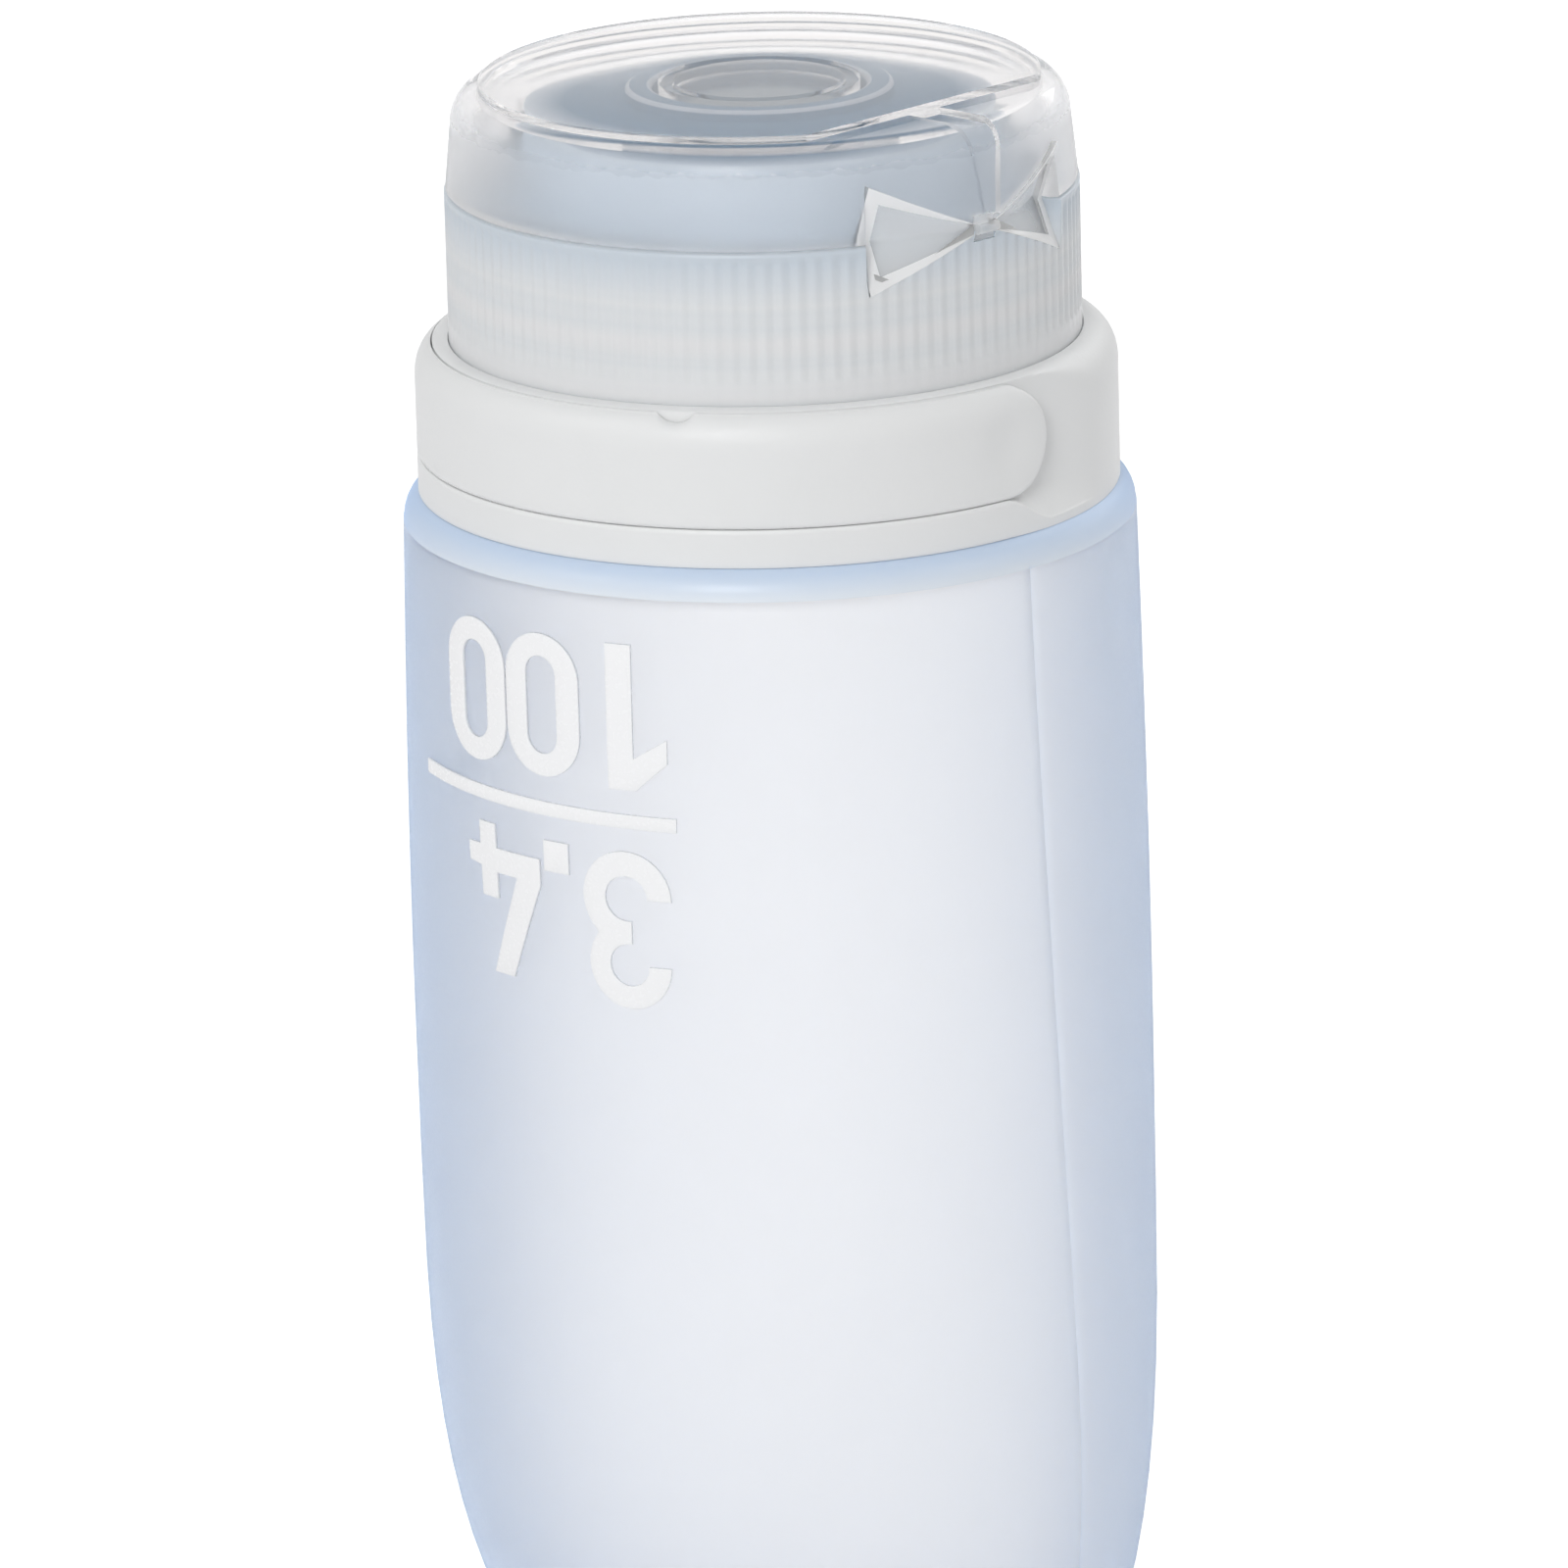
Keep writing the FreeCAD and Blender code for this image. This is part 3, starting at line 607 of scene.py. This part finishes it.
# Butterfly hinge, first the hollows for it: two pockets folded inwards that run across the split
# between cap and lid, and a slot for the film strip between them.
cap_radius = 19.8
split_height = 19.27
hinge_x = 19.9
web_face = 19.6
wing_stop = 24.3
wing_half_in = 0.35
wing_half_up = 3.7
wing_half_down = 3.2
wing_fold = 1.3
wing_plate = 0.45
wing_point = 0.5
wing_gap = 0.1
pocket_steps = 12
strip_half_width = 0.85
strip_half_height = 0.75
strip_plate = 0.4
strip_gap = 0.05
wing_start = math.degrees(math.asin((strip_half_width + strip_gap) / (web_face - wing_plate)))
wing_reach = cap_radius * math.sin(math.radians(wing_stop)) + wing_point


def wing_place(mirror, share, level, depth, spare):
    """A point of a wing or its pocket: share goes outwards, level from -1 to 1 up the web."""
    tall = wing_half_up if level > 0.0 else wing_half_down
    height = level * (wing_half_in + (tall - wing_half_in) * share)
    far_side = wing_reach + spare - wing_point / tall * abs(height)
    far = math.degrees(math.asin(far_side / cap_radius))
    angle = mirror * (wing_start + (far - wing_start) * share)
    radius = web_face - wing_fold * share * (1.0 - abs(level)) + depth
    return ring_point(radius, angle, split_height + height)


def box_tool(middle, size, turn=0.0):
    """A plain box to cut with."""
    bpy.ops.object.select_all(action="DESELECT")
    bpy.ops.mesh.primitive_cube_add(size=1.0, location=middle, rotation=(0.0, 0.0, turn))
    box = bpy.context.object
    box.scale = size
    bpy.ops.object.transform_apply(location=True, rotation=True, scale=True)
    return box


def hinge_cutter():
    """The pockets and the slot as one object to cut with."""
    cutters = []
    for mirror in (1.0, -1.0):
        def pocket_point(step_around, step_along):
            back = -wing_plate - wing_gap
            corners = ((-1.0, back), (0.0, back), (1.0, back), (1.0, 2.2), (0.0, 3.5), (-1.0, 2.2))
            level, depth = corners[step_around % 6]
            return wing_place(mirror, step_along / pocket_steps, level, depth, wing_gap)

        cutters.append(shaped_grid("wing_pocket", 6, pocket_steps, pocket_point))
        bpy.ops.object.mode_set(mode="OBJECT")
    slot_depth = 4.0
    slot_middle = web_face - strip_plate - strip_gap + slot_depth / 2
    slot_size = (slot_depth, 2 * (strip_half_width + strip_gap), 2 * (strip_half_height + strip_gap))
    slot = box_tool((slot_middle, 0.0, split_height), slot_size)
    for cutter in cutters:
        cutter.select_set(True)
    bpy.ops.object.join()
    return slot


def carve(piece, tool, operation="DIFFERENCE"):
    """Cuts a piece with a tool, or adds the tool to it, and cleans away slivers and gaps."""
    if bpy.context.object.mode == "EDIT":
        bpy.ops.object.mode_set(mode="OBJECT")
    bpy.ops.object.select_all(action="DESELECT")
    bpy.context.view_layer.objects.active = piece
    cut = piece.modifiers.new("carve", "BOOLEAN")
    cut.operation = operation
    cut.solver = "EXACT"
    cut.use_self = True
    cut.object = tool
    bpy.ops.object.modifier_apply(modifier=cut.name)
    bpy.data.objects.remove(tool)
    bpy.ops.object.mode_set(mode="EDIT")
    bpy.ops.mesh.select_all(action="SELECT")
    bpy.ops.mesh.remove_doubles(threshold=0.012)
    bpy.ops.mesh.dissolve_degenerate(threshold=0.01)
    bpy.ops.mesh.select_all(action="DESELECT")
    bpy.ops.mesh.select_non_manifold()
    bpy.ops.mesh.fill_holes(sides=0)
    bpy.ops.mesh.select_all(action="SELECT")
    bpy.ops.mesh.delete_loose()
    bpy.ops.object.mode_set(mode="OBJECT")


# Screw cap: one moulding of frosted natural plastic. Its skirt has fine upright ribs over a plain
# band and the inner thread, and its raised deck carries the spout ring and the valve's socket.
cap_bore = 18.3
skirt_foot = 9.2
cap_top = 19.22
rib_foot = 11.1
rib_top = 18.85
rib_count = 120
rib_depth = 0.13
plateau_radius = 15.0
deck_top = 23.6
deck_foot = 22.4
spout_radius = 8.4
spout_bore = 6.7
spout_top = 24.7
edge_round = 0.3
edge_middle = 0.09
inner_roof = 17.3
shell_radius = 13.7
valve_hole = 5.0
socket_bore = 8.25
socket_radius = 9.15
socket_foot = 20.5
thumb_angle = 180.0
thumb_half_angle = 15.0
thumb_steps = 8
recess_depth = 0.7
recess_height = 2.3
thread_tip = 17.3
thread_base = 1.5
thread_crest = 0.8
thread_pitch = 3.2
thread_turns = 1.2
thread_start = 10.3
thread_start_angle = 90.0
thread_steps = 90
cap_profile = [
    (cap_bore + 0.1, skirt_foot), (cap_radius - 0.2, skirt_foot), (cap_radius - 0.06, skirt_foot + 0.06),
    (cap_radius, skirt_foot + 0.2), (cap_radius, rib_foot - 0.05), (cap_radius, rib_foot + 0.25)]
cap_profile += [(cap_radius, 12.5 + 1.5 * i) for i in range(5)]
cap_profile += [
    (cap_radius, rib_top - 0.25), (cap_radius, rib_top + 0.05), (cap_radius, cap_top - 0.1),
    (cap_radius - 0.1, cap_top), (plateau_radius + edge_round, cap_top),
    (plateau_radius, cap_top + edge_round),
    (plateau_radius, deck_top - 0.4), (plateau_radius - 0.12, deck_top - 0.12),
    (plateau_radius - 0.4, deck_top), (spout_radius + 0.25, deck_top), (spout_radius, deck_top + 0.25),
    (spout_radius, spout_top - edge_round), (spout_radius - edge_middle, spout_top - edge_middle),
    (spout_radius - edge_round, spout_top), (spout_bore + edge_round, spout_top),
    (spout_bore + edge_middle, spout_top - edge_middle), (spout_bore, spout_top - edge_round),
    (spout_bore, deck_foot + 0.5), (valve_hole, deck_foot + 0.5), (valve_hole, deck_foot),
    (socket_bore, deck_foot), (socket_bore, socket_foot), (socket_radius, socket_foot),
    (socket_radius, deck_foot), (shell_radius, deck_foot), (shell_radius, inner_roof),
    (cap_bore, inner_roof), (cap_bore, skirt_foot + 0.1), (cap_bore + 0.1, skirt_foot)]
column_angle = 360.0 / (4 * rib_count)
screw_cap = turned("screw_cap", cap_profile, 4 * rib_count, column_angle / 2)


def in_rib_groove(point):
    column = math.degrees(math.atan2(point.y, point.x)) / column_angle - 0.5
    on_side = math.hypot(point.x, point.y) > cap_radius - 0.01 and rib_foot < point.z < rib_top
    return on_side and round(column) % 4 in (0, 3)


pick(screw_cap, in_rib_groove)
groove_scale = (cap_radius - rib_depth) / cap_radius
bpy.ops.transform.resize(value=(groove_scale, groove_scale, 1.0), center_override=(0.0, 0.0, 0.0))
bpy.ops.object.mode_set(mode="OBJECT")
carve(screw_cap, hinge_cutter())


def recess_point(step_around, step_along):
    """The thumb recess under the lid's front, shallow at its two ends."""
    along = step_along / thumb_steps - 1.0
    back = cap_radius - recess_depth * (1.0 - 0.9 * abs(along) ** 6)
    low, high = cap_top - recess_height, cap_top + 1.0
    outside = cap_radius + 1.0
    outline = ((back, low + 0.4), (back + 0.4, low), (outside, low), (outside, high), (back, high))
    radius, height = outline[step_around % 5]
    return ring_point(radius, thumb_angle + thumb_half_angle * along, height)


def thread_point(step_around, step_along):
    """The ridge of the inner thread, which runs out to nothing at both ends."""
    share = step_along / thread_steps
    run_out = eased(min(share, 1.0 - share), -0.01, 0.06)
    root = cap_bore + 0.1
    tip = root + (thread_tip - root) * run_out
    base, crest = thread_base / 2, thread_crest / 2
    radius, rise = ((root, -base), (tip, -crest), (tip, crest), (root, base))[step_around % 4]
    height = thread_start + thread_pitch * thread_turns * share + rise
    return ring_point(radius, thread_start_angle + 360.0 * thread_turns * share, height)


carve(screw_cap, shaped_grid("thumb_recess", 5, 2 * thumb_steps, recess_point))
carve(screw_cap, shaped_grid("inner_thread", 4, thread_steps, thread_point), "UNION")
settle(screw_cap, 48.0)
frosted, add, link, shader, colour = moulded(
    "frosted_cap_plastic", (0.95, 0.96, 0.975), (0.92, 0.935, 0.955), natural_gloss, 0.10, 3000.0,
    {"Transmission Weight": 0.2, "IOR": 1.49, "Subsurface Weight": 0.6,
     "Subsurface Radius": (0.002, 0.002, 0.002)})
# Faint level bands of painted shade stand for the inner thread seen through the skirt, and the skirt's top
# is painted bluer and darker as shade
place = add("ShaderNodeTexCoord")
level_only = add("ShaderNodeMapping")
level_only.inputs["Scale"].default_value = (0.0, 0.0, 1.0)
link(place.outputs["Object"], level_only.inputs["Vector"])
thread_shade_bands = add("ShaderNodeTexNoise")
thread_shade_bands.inputs["Scale"].default_value = 420.0
thread_shade_bands.inputs["Detail"].default_value = 3.0
link(level_only.outputs["Vector"], thread_shade_bands.inputs["Vector"])
thread_shade_share = mapped(add, link, thread_shade_bands.outputs["Fac"], 0.4, 0.65, 0.0, 0.6)
colour = fade(add, link, shader, colour, thread_shade_share, (0.79, 0.84, 0.88))
top_share = height_share(add, link, cap_top - 3.4, cap_top - 0.6)
fade(add, link, shader, colour, top_share, (0.74, 0.81, 0.88))
screw_cap.data.materials.append(frosted)
# The raised part is thin and clear over the dark neck: its side is painted blue and its deck slate as
# shade, and the spout ring's edges are painted lighter as highlights
for name, pale, deep in (("plateau_side_painted_shade", (0.67, 0.73, 0.79), (0.63, 0.70, 0.77)),
                         ("spout_edge_painted_highlight", (0.46, 0.53, 0.62), (0.42, 0.49, 0.58)),
                         ("deck_painted_shade", (0.16, 0.26, 0.38), (0.14, 0.235, 0.35))):
    raised, add, link, shader, colour = moulded(
        name, pale, deep, natural_gloss, 0.05, 3000.0, {"Specular IOR Level": 0.0})
    screw_cap.data.materials.append(raised)
# The deck, the last of the three, has its painted shade fade out towards its rim
place = add("ShaderNodeTexCoord")
flat = add("ShaderNodeMapping")
flat.inputs["Scale"].default_value = (1.0, 1.0, 0.0)
link(place.outputs["Object"], flat.inputs["Vector"])
reach = add("ShaderNodeVectorMath")
reach.operation = "LENGTH"
link(flat.outputs["Vector"], reach.inputs[0])
deck_shade_fade_share = mapped(
    add, link, reach.outputs["Value"], (plateau_radius - 2.6) * 0.001, (plateau_radius - 0.2) * 0.001)
fade(add, link, shader, colour, deck_shade_fade_share, (0.56, 0.63, 0.71))
plain_face, shaded_side_face, spout_highlight_face, shaded_deck_face = range(4)
for face in screw_cap.data.polygons:
    x, y, height = face.center * 1000.0 - Vector((0.0, 0.0, body_length))
    radius = math.hypot(x, y)
    face.material_index = shaded_deck_face
    if height < cap_top + 0.05 or radius < plateau_radius - 1.2 and height < deck_foot + 0.05:
        face.material_index = plain_face
    elif spout_top - edge_round < height < spout_top - 0.005:
        face.material_index = spout_highlight_face
    elif radius > plateau_radius - 0.15:
        face.material_index = shaded_side_face
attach(screw_cap, "cap")
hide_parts("cap_base")

# Valve: a soft silicone disc with a cross slit, seated in the spout ring, and the snap ring
# under the deck that holds its flange. The ring's shape comes from the CAD model. The disc is painted dark
# blue-grey as shade.
valve_profile = [
    (0.0, 22.75), (1.5, 22.78), (3.0, 22.9), (4.3, 23.12), (4.7, 23.27), (4.85, 23.2), (4.85, 22.35),
    (7.8, 22.35), (7.9, 22.25), (7.9, 21.55), (7.8, 21.45), (4.3, 21.45), (4.2, 21.55), (4.2, 22.55),
    (2.5, 22.36), (0.0, 22.25)]
slit_length = 5.0
slit_width = 0.12
slit_middle = 22.6
dispensing_valve = turned("slit_valve", valve_profile, 96)
bpy.ops.object.mode_set(mode="OBJECT")
for length, width in ((slit_length, slit_width), (slit_width, slit_length)):
    carve(dispensing_valve, box_tool((0.0, 0.0, slit_middle), (length, width, 2.0)))
settle(dispensing_valve, 40.0)
shaded_valve_silicone = moulded(
    "valve_silicone_painted_shade", (0.27, 0.335, 0.40), (0.24, 0.305, 0.37), (0.35, 0.5), 0.2, 4000.0,
    {"Specular IOR Level": 0.1})[0]
dispensing_valve.data.materials.append(shaded_valve_silicone)
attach(dispensing_valve, "cap")
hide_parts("dispensing_valve")
dress("valve_retainer", neck_plastic)

# Flip lid: a clear moulded cup over the spout. A raised plate with one straight side forms its top,
# a shallow tapered groove runs down over the hinge, and a plug ring inside closes the spout.
lid_foot = 19.32
lid_top = 26.0
lid_radius = 19.7
lid_upper_radius = 19.3
plate_radius = 17.5
plate_step = 0.45
lid_roof = 24.9
step_distance = 14.0
plate_turn = 2.5
lid_round_height = 2.15
groove_top_half = 1.45
groove_foot_half = 0.55
groove_depth = 0.45
lid_wall = 1.3
plug_radius = 6.3
plug_bore = 5.3
plug_length = 0.9
lip_half_angle = 14.0
lip_outline = [
    (-0.65, 0.02), (0.75, 0.02), (0.94, 0.12), (1.0, 0.3), (1.0, 0.9), (0.92, 1.15), (0.7, 1.3),
    (-0.65, 1.3)]
rim_top = lid_top - plate_step
lid_round_width = lid_upper_radius - plate_radius - 0.05
lid_shoulder = quarter(lid_upper_radius, rim_top, lid_round_width, lid_round_height, 10)
roof_edge = lid_upper_radius - lid_wall
lid_profile = [
    (0.0, lid_top), (plate_radius - 0.1, lid_top), (plate_radius, lid_top - 0.1),
    (plate_radius + 0.02, rim_top)]
lid_profile += lid_shoulder
lid_profile += [
    (lid_radius, lid_foot + 0.1), (lid_radius - 0.1, lid_foot), (lid_radius - lid_wall + 0.05, lid_foot),
    (lid_radius - lid_wall, lid_foot + 0.1), (roof_edge, lid_roof - 1.2),
    (roof_edge - 0.12, lid_roof - 0.6), (roof_edge - 0.45, lid_roof - 0.2), (roof_edge - 1.0, lid_roof),
    (plug_radius, lid_roof),
    (plug_radius, lid_roof - plug_length + 0.1), (plug_radius - 0.1, lid_roof - plug_length),
    (plug_bore + 0.1, lid_roof - plug_length), (plug_bore, lid_roof - plug_length + 0.1),
    (plug_bore, lid_roof), (0.0, lid_roof)]
flip_lid = turned("clear_lid", lid_profile, 256)
bpy.ops.object.mode_set(mode="OBJECT")
step_turn = math.radians(plate_turn)
step_size = (10.0, 60.0, 4.0)
step_middle = ring_point(step_distance + step_size[0] / 2, plate_turn, rim_top + step_size[2] / 2)
carve(flip_lid, box_tool(step_middle, step_size, step_turn))

groove_path = [(step_distance + 0.3 * i, rim_top, 0.0, 1.0) for i in range(0, 11, 2)]
for radius, height in lid_shoulder[1:]:
    lean = math.atan2(radius - lid_shoulder[0][0], height - lid_shoulder[-1][1] + 0.4)
    groove_path.append((radius, height, math.sin(lean), math.cos(lean)))
groove_path += [(lid_upper_radius + 0.1 * i, lid_shoulder[-1][1] - 0.95 * i, 1.0, 0.0) for i in range(1, 6)]


def groove_point(step_around, step_along):
    """The groove's floor on one side and open air on the other, side to side by its half width."""
    radius, height, out, up = groove_path[step_along]
    share = (height - lid_foot) / (lid_top - lid_foot)
    half = groove_foot_half + (groove_top_half - groove_foot_half) * share
    corners = ((-groove_depth, -half), (-groove_depth, half), (1.0, half), (1.0, -half))
    depth, side = corners[step_around % 4]
    return Matrix.Rotation(step_turn, 3, "Z") @ Vector((radius + out * depth, side, height + up * depth))


carve(flip_lid, shaped_grid("hinge_groove", 4, len(groove_path) - 1, groove_point))
carve(flip_lid, hinge_cutter())


def lip_point(step_around, step_along):
    """The thumb lip at the lid's front, rounded off at its two ends."""
    along = step_along / thumb_steps - 1.0
    reach, rise = lip_outline[step_around % len(lip_outline)]
    if reach > 0.0:
        reach *= 1.0 - 0.85 * abs(along) ** 6
    return ring_point(lid_radius + reach, thumb_angle + lip_half_angle * along, lid_foot + rise)


carve(flip_lid, shaped_grid("thumb_lip", len(lip_outline), 2 * thumb_steps, lip_point), "UNION")
settle(flip_lid, 30.0)
clear_plastic, add, link, shader, colour = moulded(
    "clear_lid_plastic", (0.87, 0.87, 0.88), (0.85, 0.855, 0.865), (0.04, 0.09), 0.005, 900.0,
    {"Transmission Weight": 1.0, "IOR": 1.2})
# The polished top is warmer, and the side a little hazier
top_share = height_share(add, link, lid_top - 1.5, lid_top - 0.4)
fade(add, link, shader, colour, top_share, (0.93, 0.905, 0.89))
hazy = add("ShaderNodeMath")
link(shader.inputs["Roughness"].links[0].from_socket, hazy.inputs[0])
link(height_share(add, link, lid_top - 3.0, lid_top - 1.0, 0.35, 0.0), hazy.inputs[1])
link(hazy.outputs[0], shader.inputs["Roughness"])
flip_lid.data.materials.append(clear_plastic)
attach(flip_lid, "lid")
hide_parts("flip_lid")

# Hinge webs and film strip: thin clear plastic between cap and lid, folded inwards while the lid
# is shut. A raised rim runs round each web.
wing_steps = 16
web_steps = 8
web_border = 0.15
strip_bead = 0.35
strip_steps = 3
strip_back = web_face - strip_plate
strip_outline = [(strip_back, -strip_half_height), (web_face, -strip_half_height), (web_face, -0.3)]
strip_outline += arc(hinge_x, 0.0, strip_bead, -90.0, 90.0, 6)
strip_outline += [(web_face, 0.3), (web_face, strip_half_height), (strip_back, strip_half_height),
                  (strip_back, 0.25), (strip_back, 0.0), (strip_back, -0.25)]


def strip_place(step_around, step_along):
    x, height = strip_outline[step_around % len(strip_outline)]
    return x, strip_half_width * (step_along / strip_steps - 1.0), split_height + height


hinge_strip = shaped_grid("hinge_film", len(strip_outline), 2 * strip_steps, strip_place)
settle(hinge_strip, 40.0)
hinge_pieces = [(hinge_strip, "hinge_strip", strip_half_height, strip_half_height)]
for mirror, node in ((1.0, "hinge_wing_right"), (-1.0, "hinge_wing_left")):
    def web_point(step_around, step_along):
        count = 2 * web_steps
        front = step_around <= count
        level = step_around / web_steps - 1.0 if front else 1.0 - (step_around - count - 1) / web_steps
        share = step_along / wing_steps
        border = web_border * max(eased(abs(level), 0.75, 0.85), eased(share, 0.85, 0.92))
        return wing_place(mirror, share, level * 0.99, border if front else -wing_plate, 0.0)

    def on_border(step_around, step_along):
        level = step_around / web_steps - 1.0
        return level < 1.0 and (abs(level) > 0.78 or step_along / wing_steps > 0.87)

    wing = shaped_grid(node.replace("wing", "web"), 4 * web_steps + 1, wing_steps, web_point, on_border)
    settle(wing, 40.0)
    hinge_pieces.append((wing, node, wing_half_down, wing_half_up))
film_gloss = (0.08, 0.16)
film_plastic = moulded(
    "pale_hinge_film", (0.97, 0.975, 0.98), (0.95, 0.96, 0.965), film_gloss, 0.03, 1500.0,
    {"Alpha": 0.3})[0]
# The rim is less clear than the web because its plastic is thicker, and its whiter look is also a painted
# glint along the outline
rim_glint_plastic = moulded(
    "hinge_rim_painted_glint", (0.98, 0.985, 0.99), (0.96, 0.97, 0.975), film_gloss, 0.03, 1500.0,
    {"Alpha": 0.85})[0]
for piece, node, half_down, half_up in hinge_pieces:
    piece.data.materials.append(film_plastic)
    piece.data.materials.append(rim_glint_plastic)
    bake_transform(piece)
    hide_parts(node)

# Floor: a plain white sheet. It looks white to the camera, in gloss and through the clear parts,
# and its plain half still takes the bottle's soft shadow.
floor_glow = 0.54
bpy.ops.object.select_all(action="DESELECT")
bpy.ops.mesh.primitive_plane_add(size=12.0, location=(0.0, 0.0, 0.0))
floor = bpy.context.object
floor.name = "floor"


def seen_level(tree, plain, seen):
    """A strength that is plain for the light on the pieces and another where the background is seen."""
    rays = tree.nodes.new("ShaderNodeLightPath")
    level = tree.nodes.new("ShaderNodeMapRange")
    level.inputs["To Min"].default_value = plain
    level.inputs["To Max"].default_value = seen
    last = rays.outputs["Is Camera Ray"]
    for ray in ("Is Glossy Ray", "Is Transmission Ray"):
        either = tree.nodes.new("ShaderNodeMath")
        either.operation = "MAXIMUM"
        tree.links.new(last, either.inputs[0])
        tree.links.new(rays.outputs[ray], either.inputs[1])
        last = either.outputs[0]
    tree.links.new(last, level.inputs["Value"])
    return level.outputs["Result"]


paper = bpy.data.materials.new("white_paper")
paper.use_nodes = True
nodes, links = paper.node_tree.nodes, paper.node_tree.links
nodes.remove(nodes["Principled BSDF"])
sheet = nodes.new("ShaderNodeBsdfDiffuse")
sheet.inputs["Color"].default_value = (0.85, 0.85, 0.86, 1.0)
glow = nodes.new("ShaderNodeEmission")
both = nodes.new("ShaderNodeAddShader")
links.new(seen_level(paper.node_tree, 0.0, floor_glow), glow.inputs["Strength"])
links.new(sheet.outputs[0], both.inputs[0])
links.new(glow.outputs[0], both.inputs[1])
links.new(both.outputs[0], nodes["Material Output"].inputs["Surface"])
floor.data.materials.append(paper)

# Studio light: a pale room that is seen as white, a soft lamp in front and weaker ones around.
# Light may turn many times inside the clear plastic, as it does in the real lid.
room_light = 0.51
world = bpy.data.worlds.new("studio")
bpy.context.scene.world = world
world.use_nodes = True
room = world.node_tree.nodes["Background"]
room.inputs["Color"].default_value = (1.0, 1.0, 1.0, 1.0)
world.node_tree.links.new(seen_level(world.node_tree, room_light, 1.0), room.inputs["Strength"])
light_turns = bpy.context.scene.cycles
light_turns.max_bounces = 24
light_turns.glossy_bounces = 16
light_turns.transmission_bounces = 24
view_angle = math.radians(-43.5)
target = Vector((0.0, 0.0, 0.086))
for name, turn, height, distance, size, power in (
        ("front_lamp", -15.0, 0.5, 0.85, 0.3, 2.7), ("left_lamp", -65.0, 0.55, 0.8, 0.25, 0.65),
        ("right_lamp", 70.0, 0.55, 0.8, 0.12, 0.2), ("back_lamp", 140.0, 0.6, 0.8, 0.7, 1.5)):
    lamp = bpy.data.lights.new(name, "AREA")
    lamp.size = size
    lamp.energy = power
    lamp_object = bpy.data.objects.new(name, lamp)
    bpy.context.scene.collection.objects.link(lamp_object)
    around = view_angle + math.radians(turn)
    lamp_object.location = (distance * math.cos(around), distance * math.sin(around), height)
    lamp_object.rotation_euler = (target - lamp_object.location).to_track_quat("-Z", "Y").to_euler()

# Camera: a long lens, a little above the cap, with the small tilt of the photograph.
picture = 1600.0
focal_pixels = 12500.0
pitch = math.radians(16.2)
tilt = math.radians(1.45)
target_pixel = (785.0, 487.5)
pixels_per_mm = 16.28
level_way = Vector((-math.cos(view_angle), -math.sin(view_angle), 0.0))
upright = Vector((0.0, 0.0, 1.0))
forward = level_way * math.cos(pitch) - upright * math.sin(pitch)
up = level_way * math.sin(pitch) + upright * math.cos(pitch)
right = Vector((level_way.y, -level_way.x, 0.0))
off_x, off_y = target_pixel[0] - picture / 2, target_pixel[1] - picture / 2
side = off_x * math.cos(tilt) - off_y * math.sin(tilt)
drop = off_x * math.sin(tilt) + off_y * math.cos(tilt)
ray = forward * focal_pixels + right * side - up * drop
camera_data = bpy.data.cameras.new("camera")
camera_data.sensor_width = 36.0
camera_data.lens = camera_data.sensor_width * focal_pixels / picture
camera = bpy.data.objects.new("camera", camera_data)
bpy.context.scene.collection.objects.link(camera)
picture_right = right * math.cos(tilt) - up * math.sin(tilt)
picture_up = up * math.cos(tilt) + right * math.sin(tilt)
camera.matrix_world = Matrix.Translation(target - ray * 0.001 / pixels_per_mm) @ Matrix(
    (picture_right, picture_up, -forward)).transposed().to_4x4()
bpy.context.scene.camera = camera
bpy.context.scene.view_settings.view_transform = "Standard"
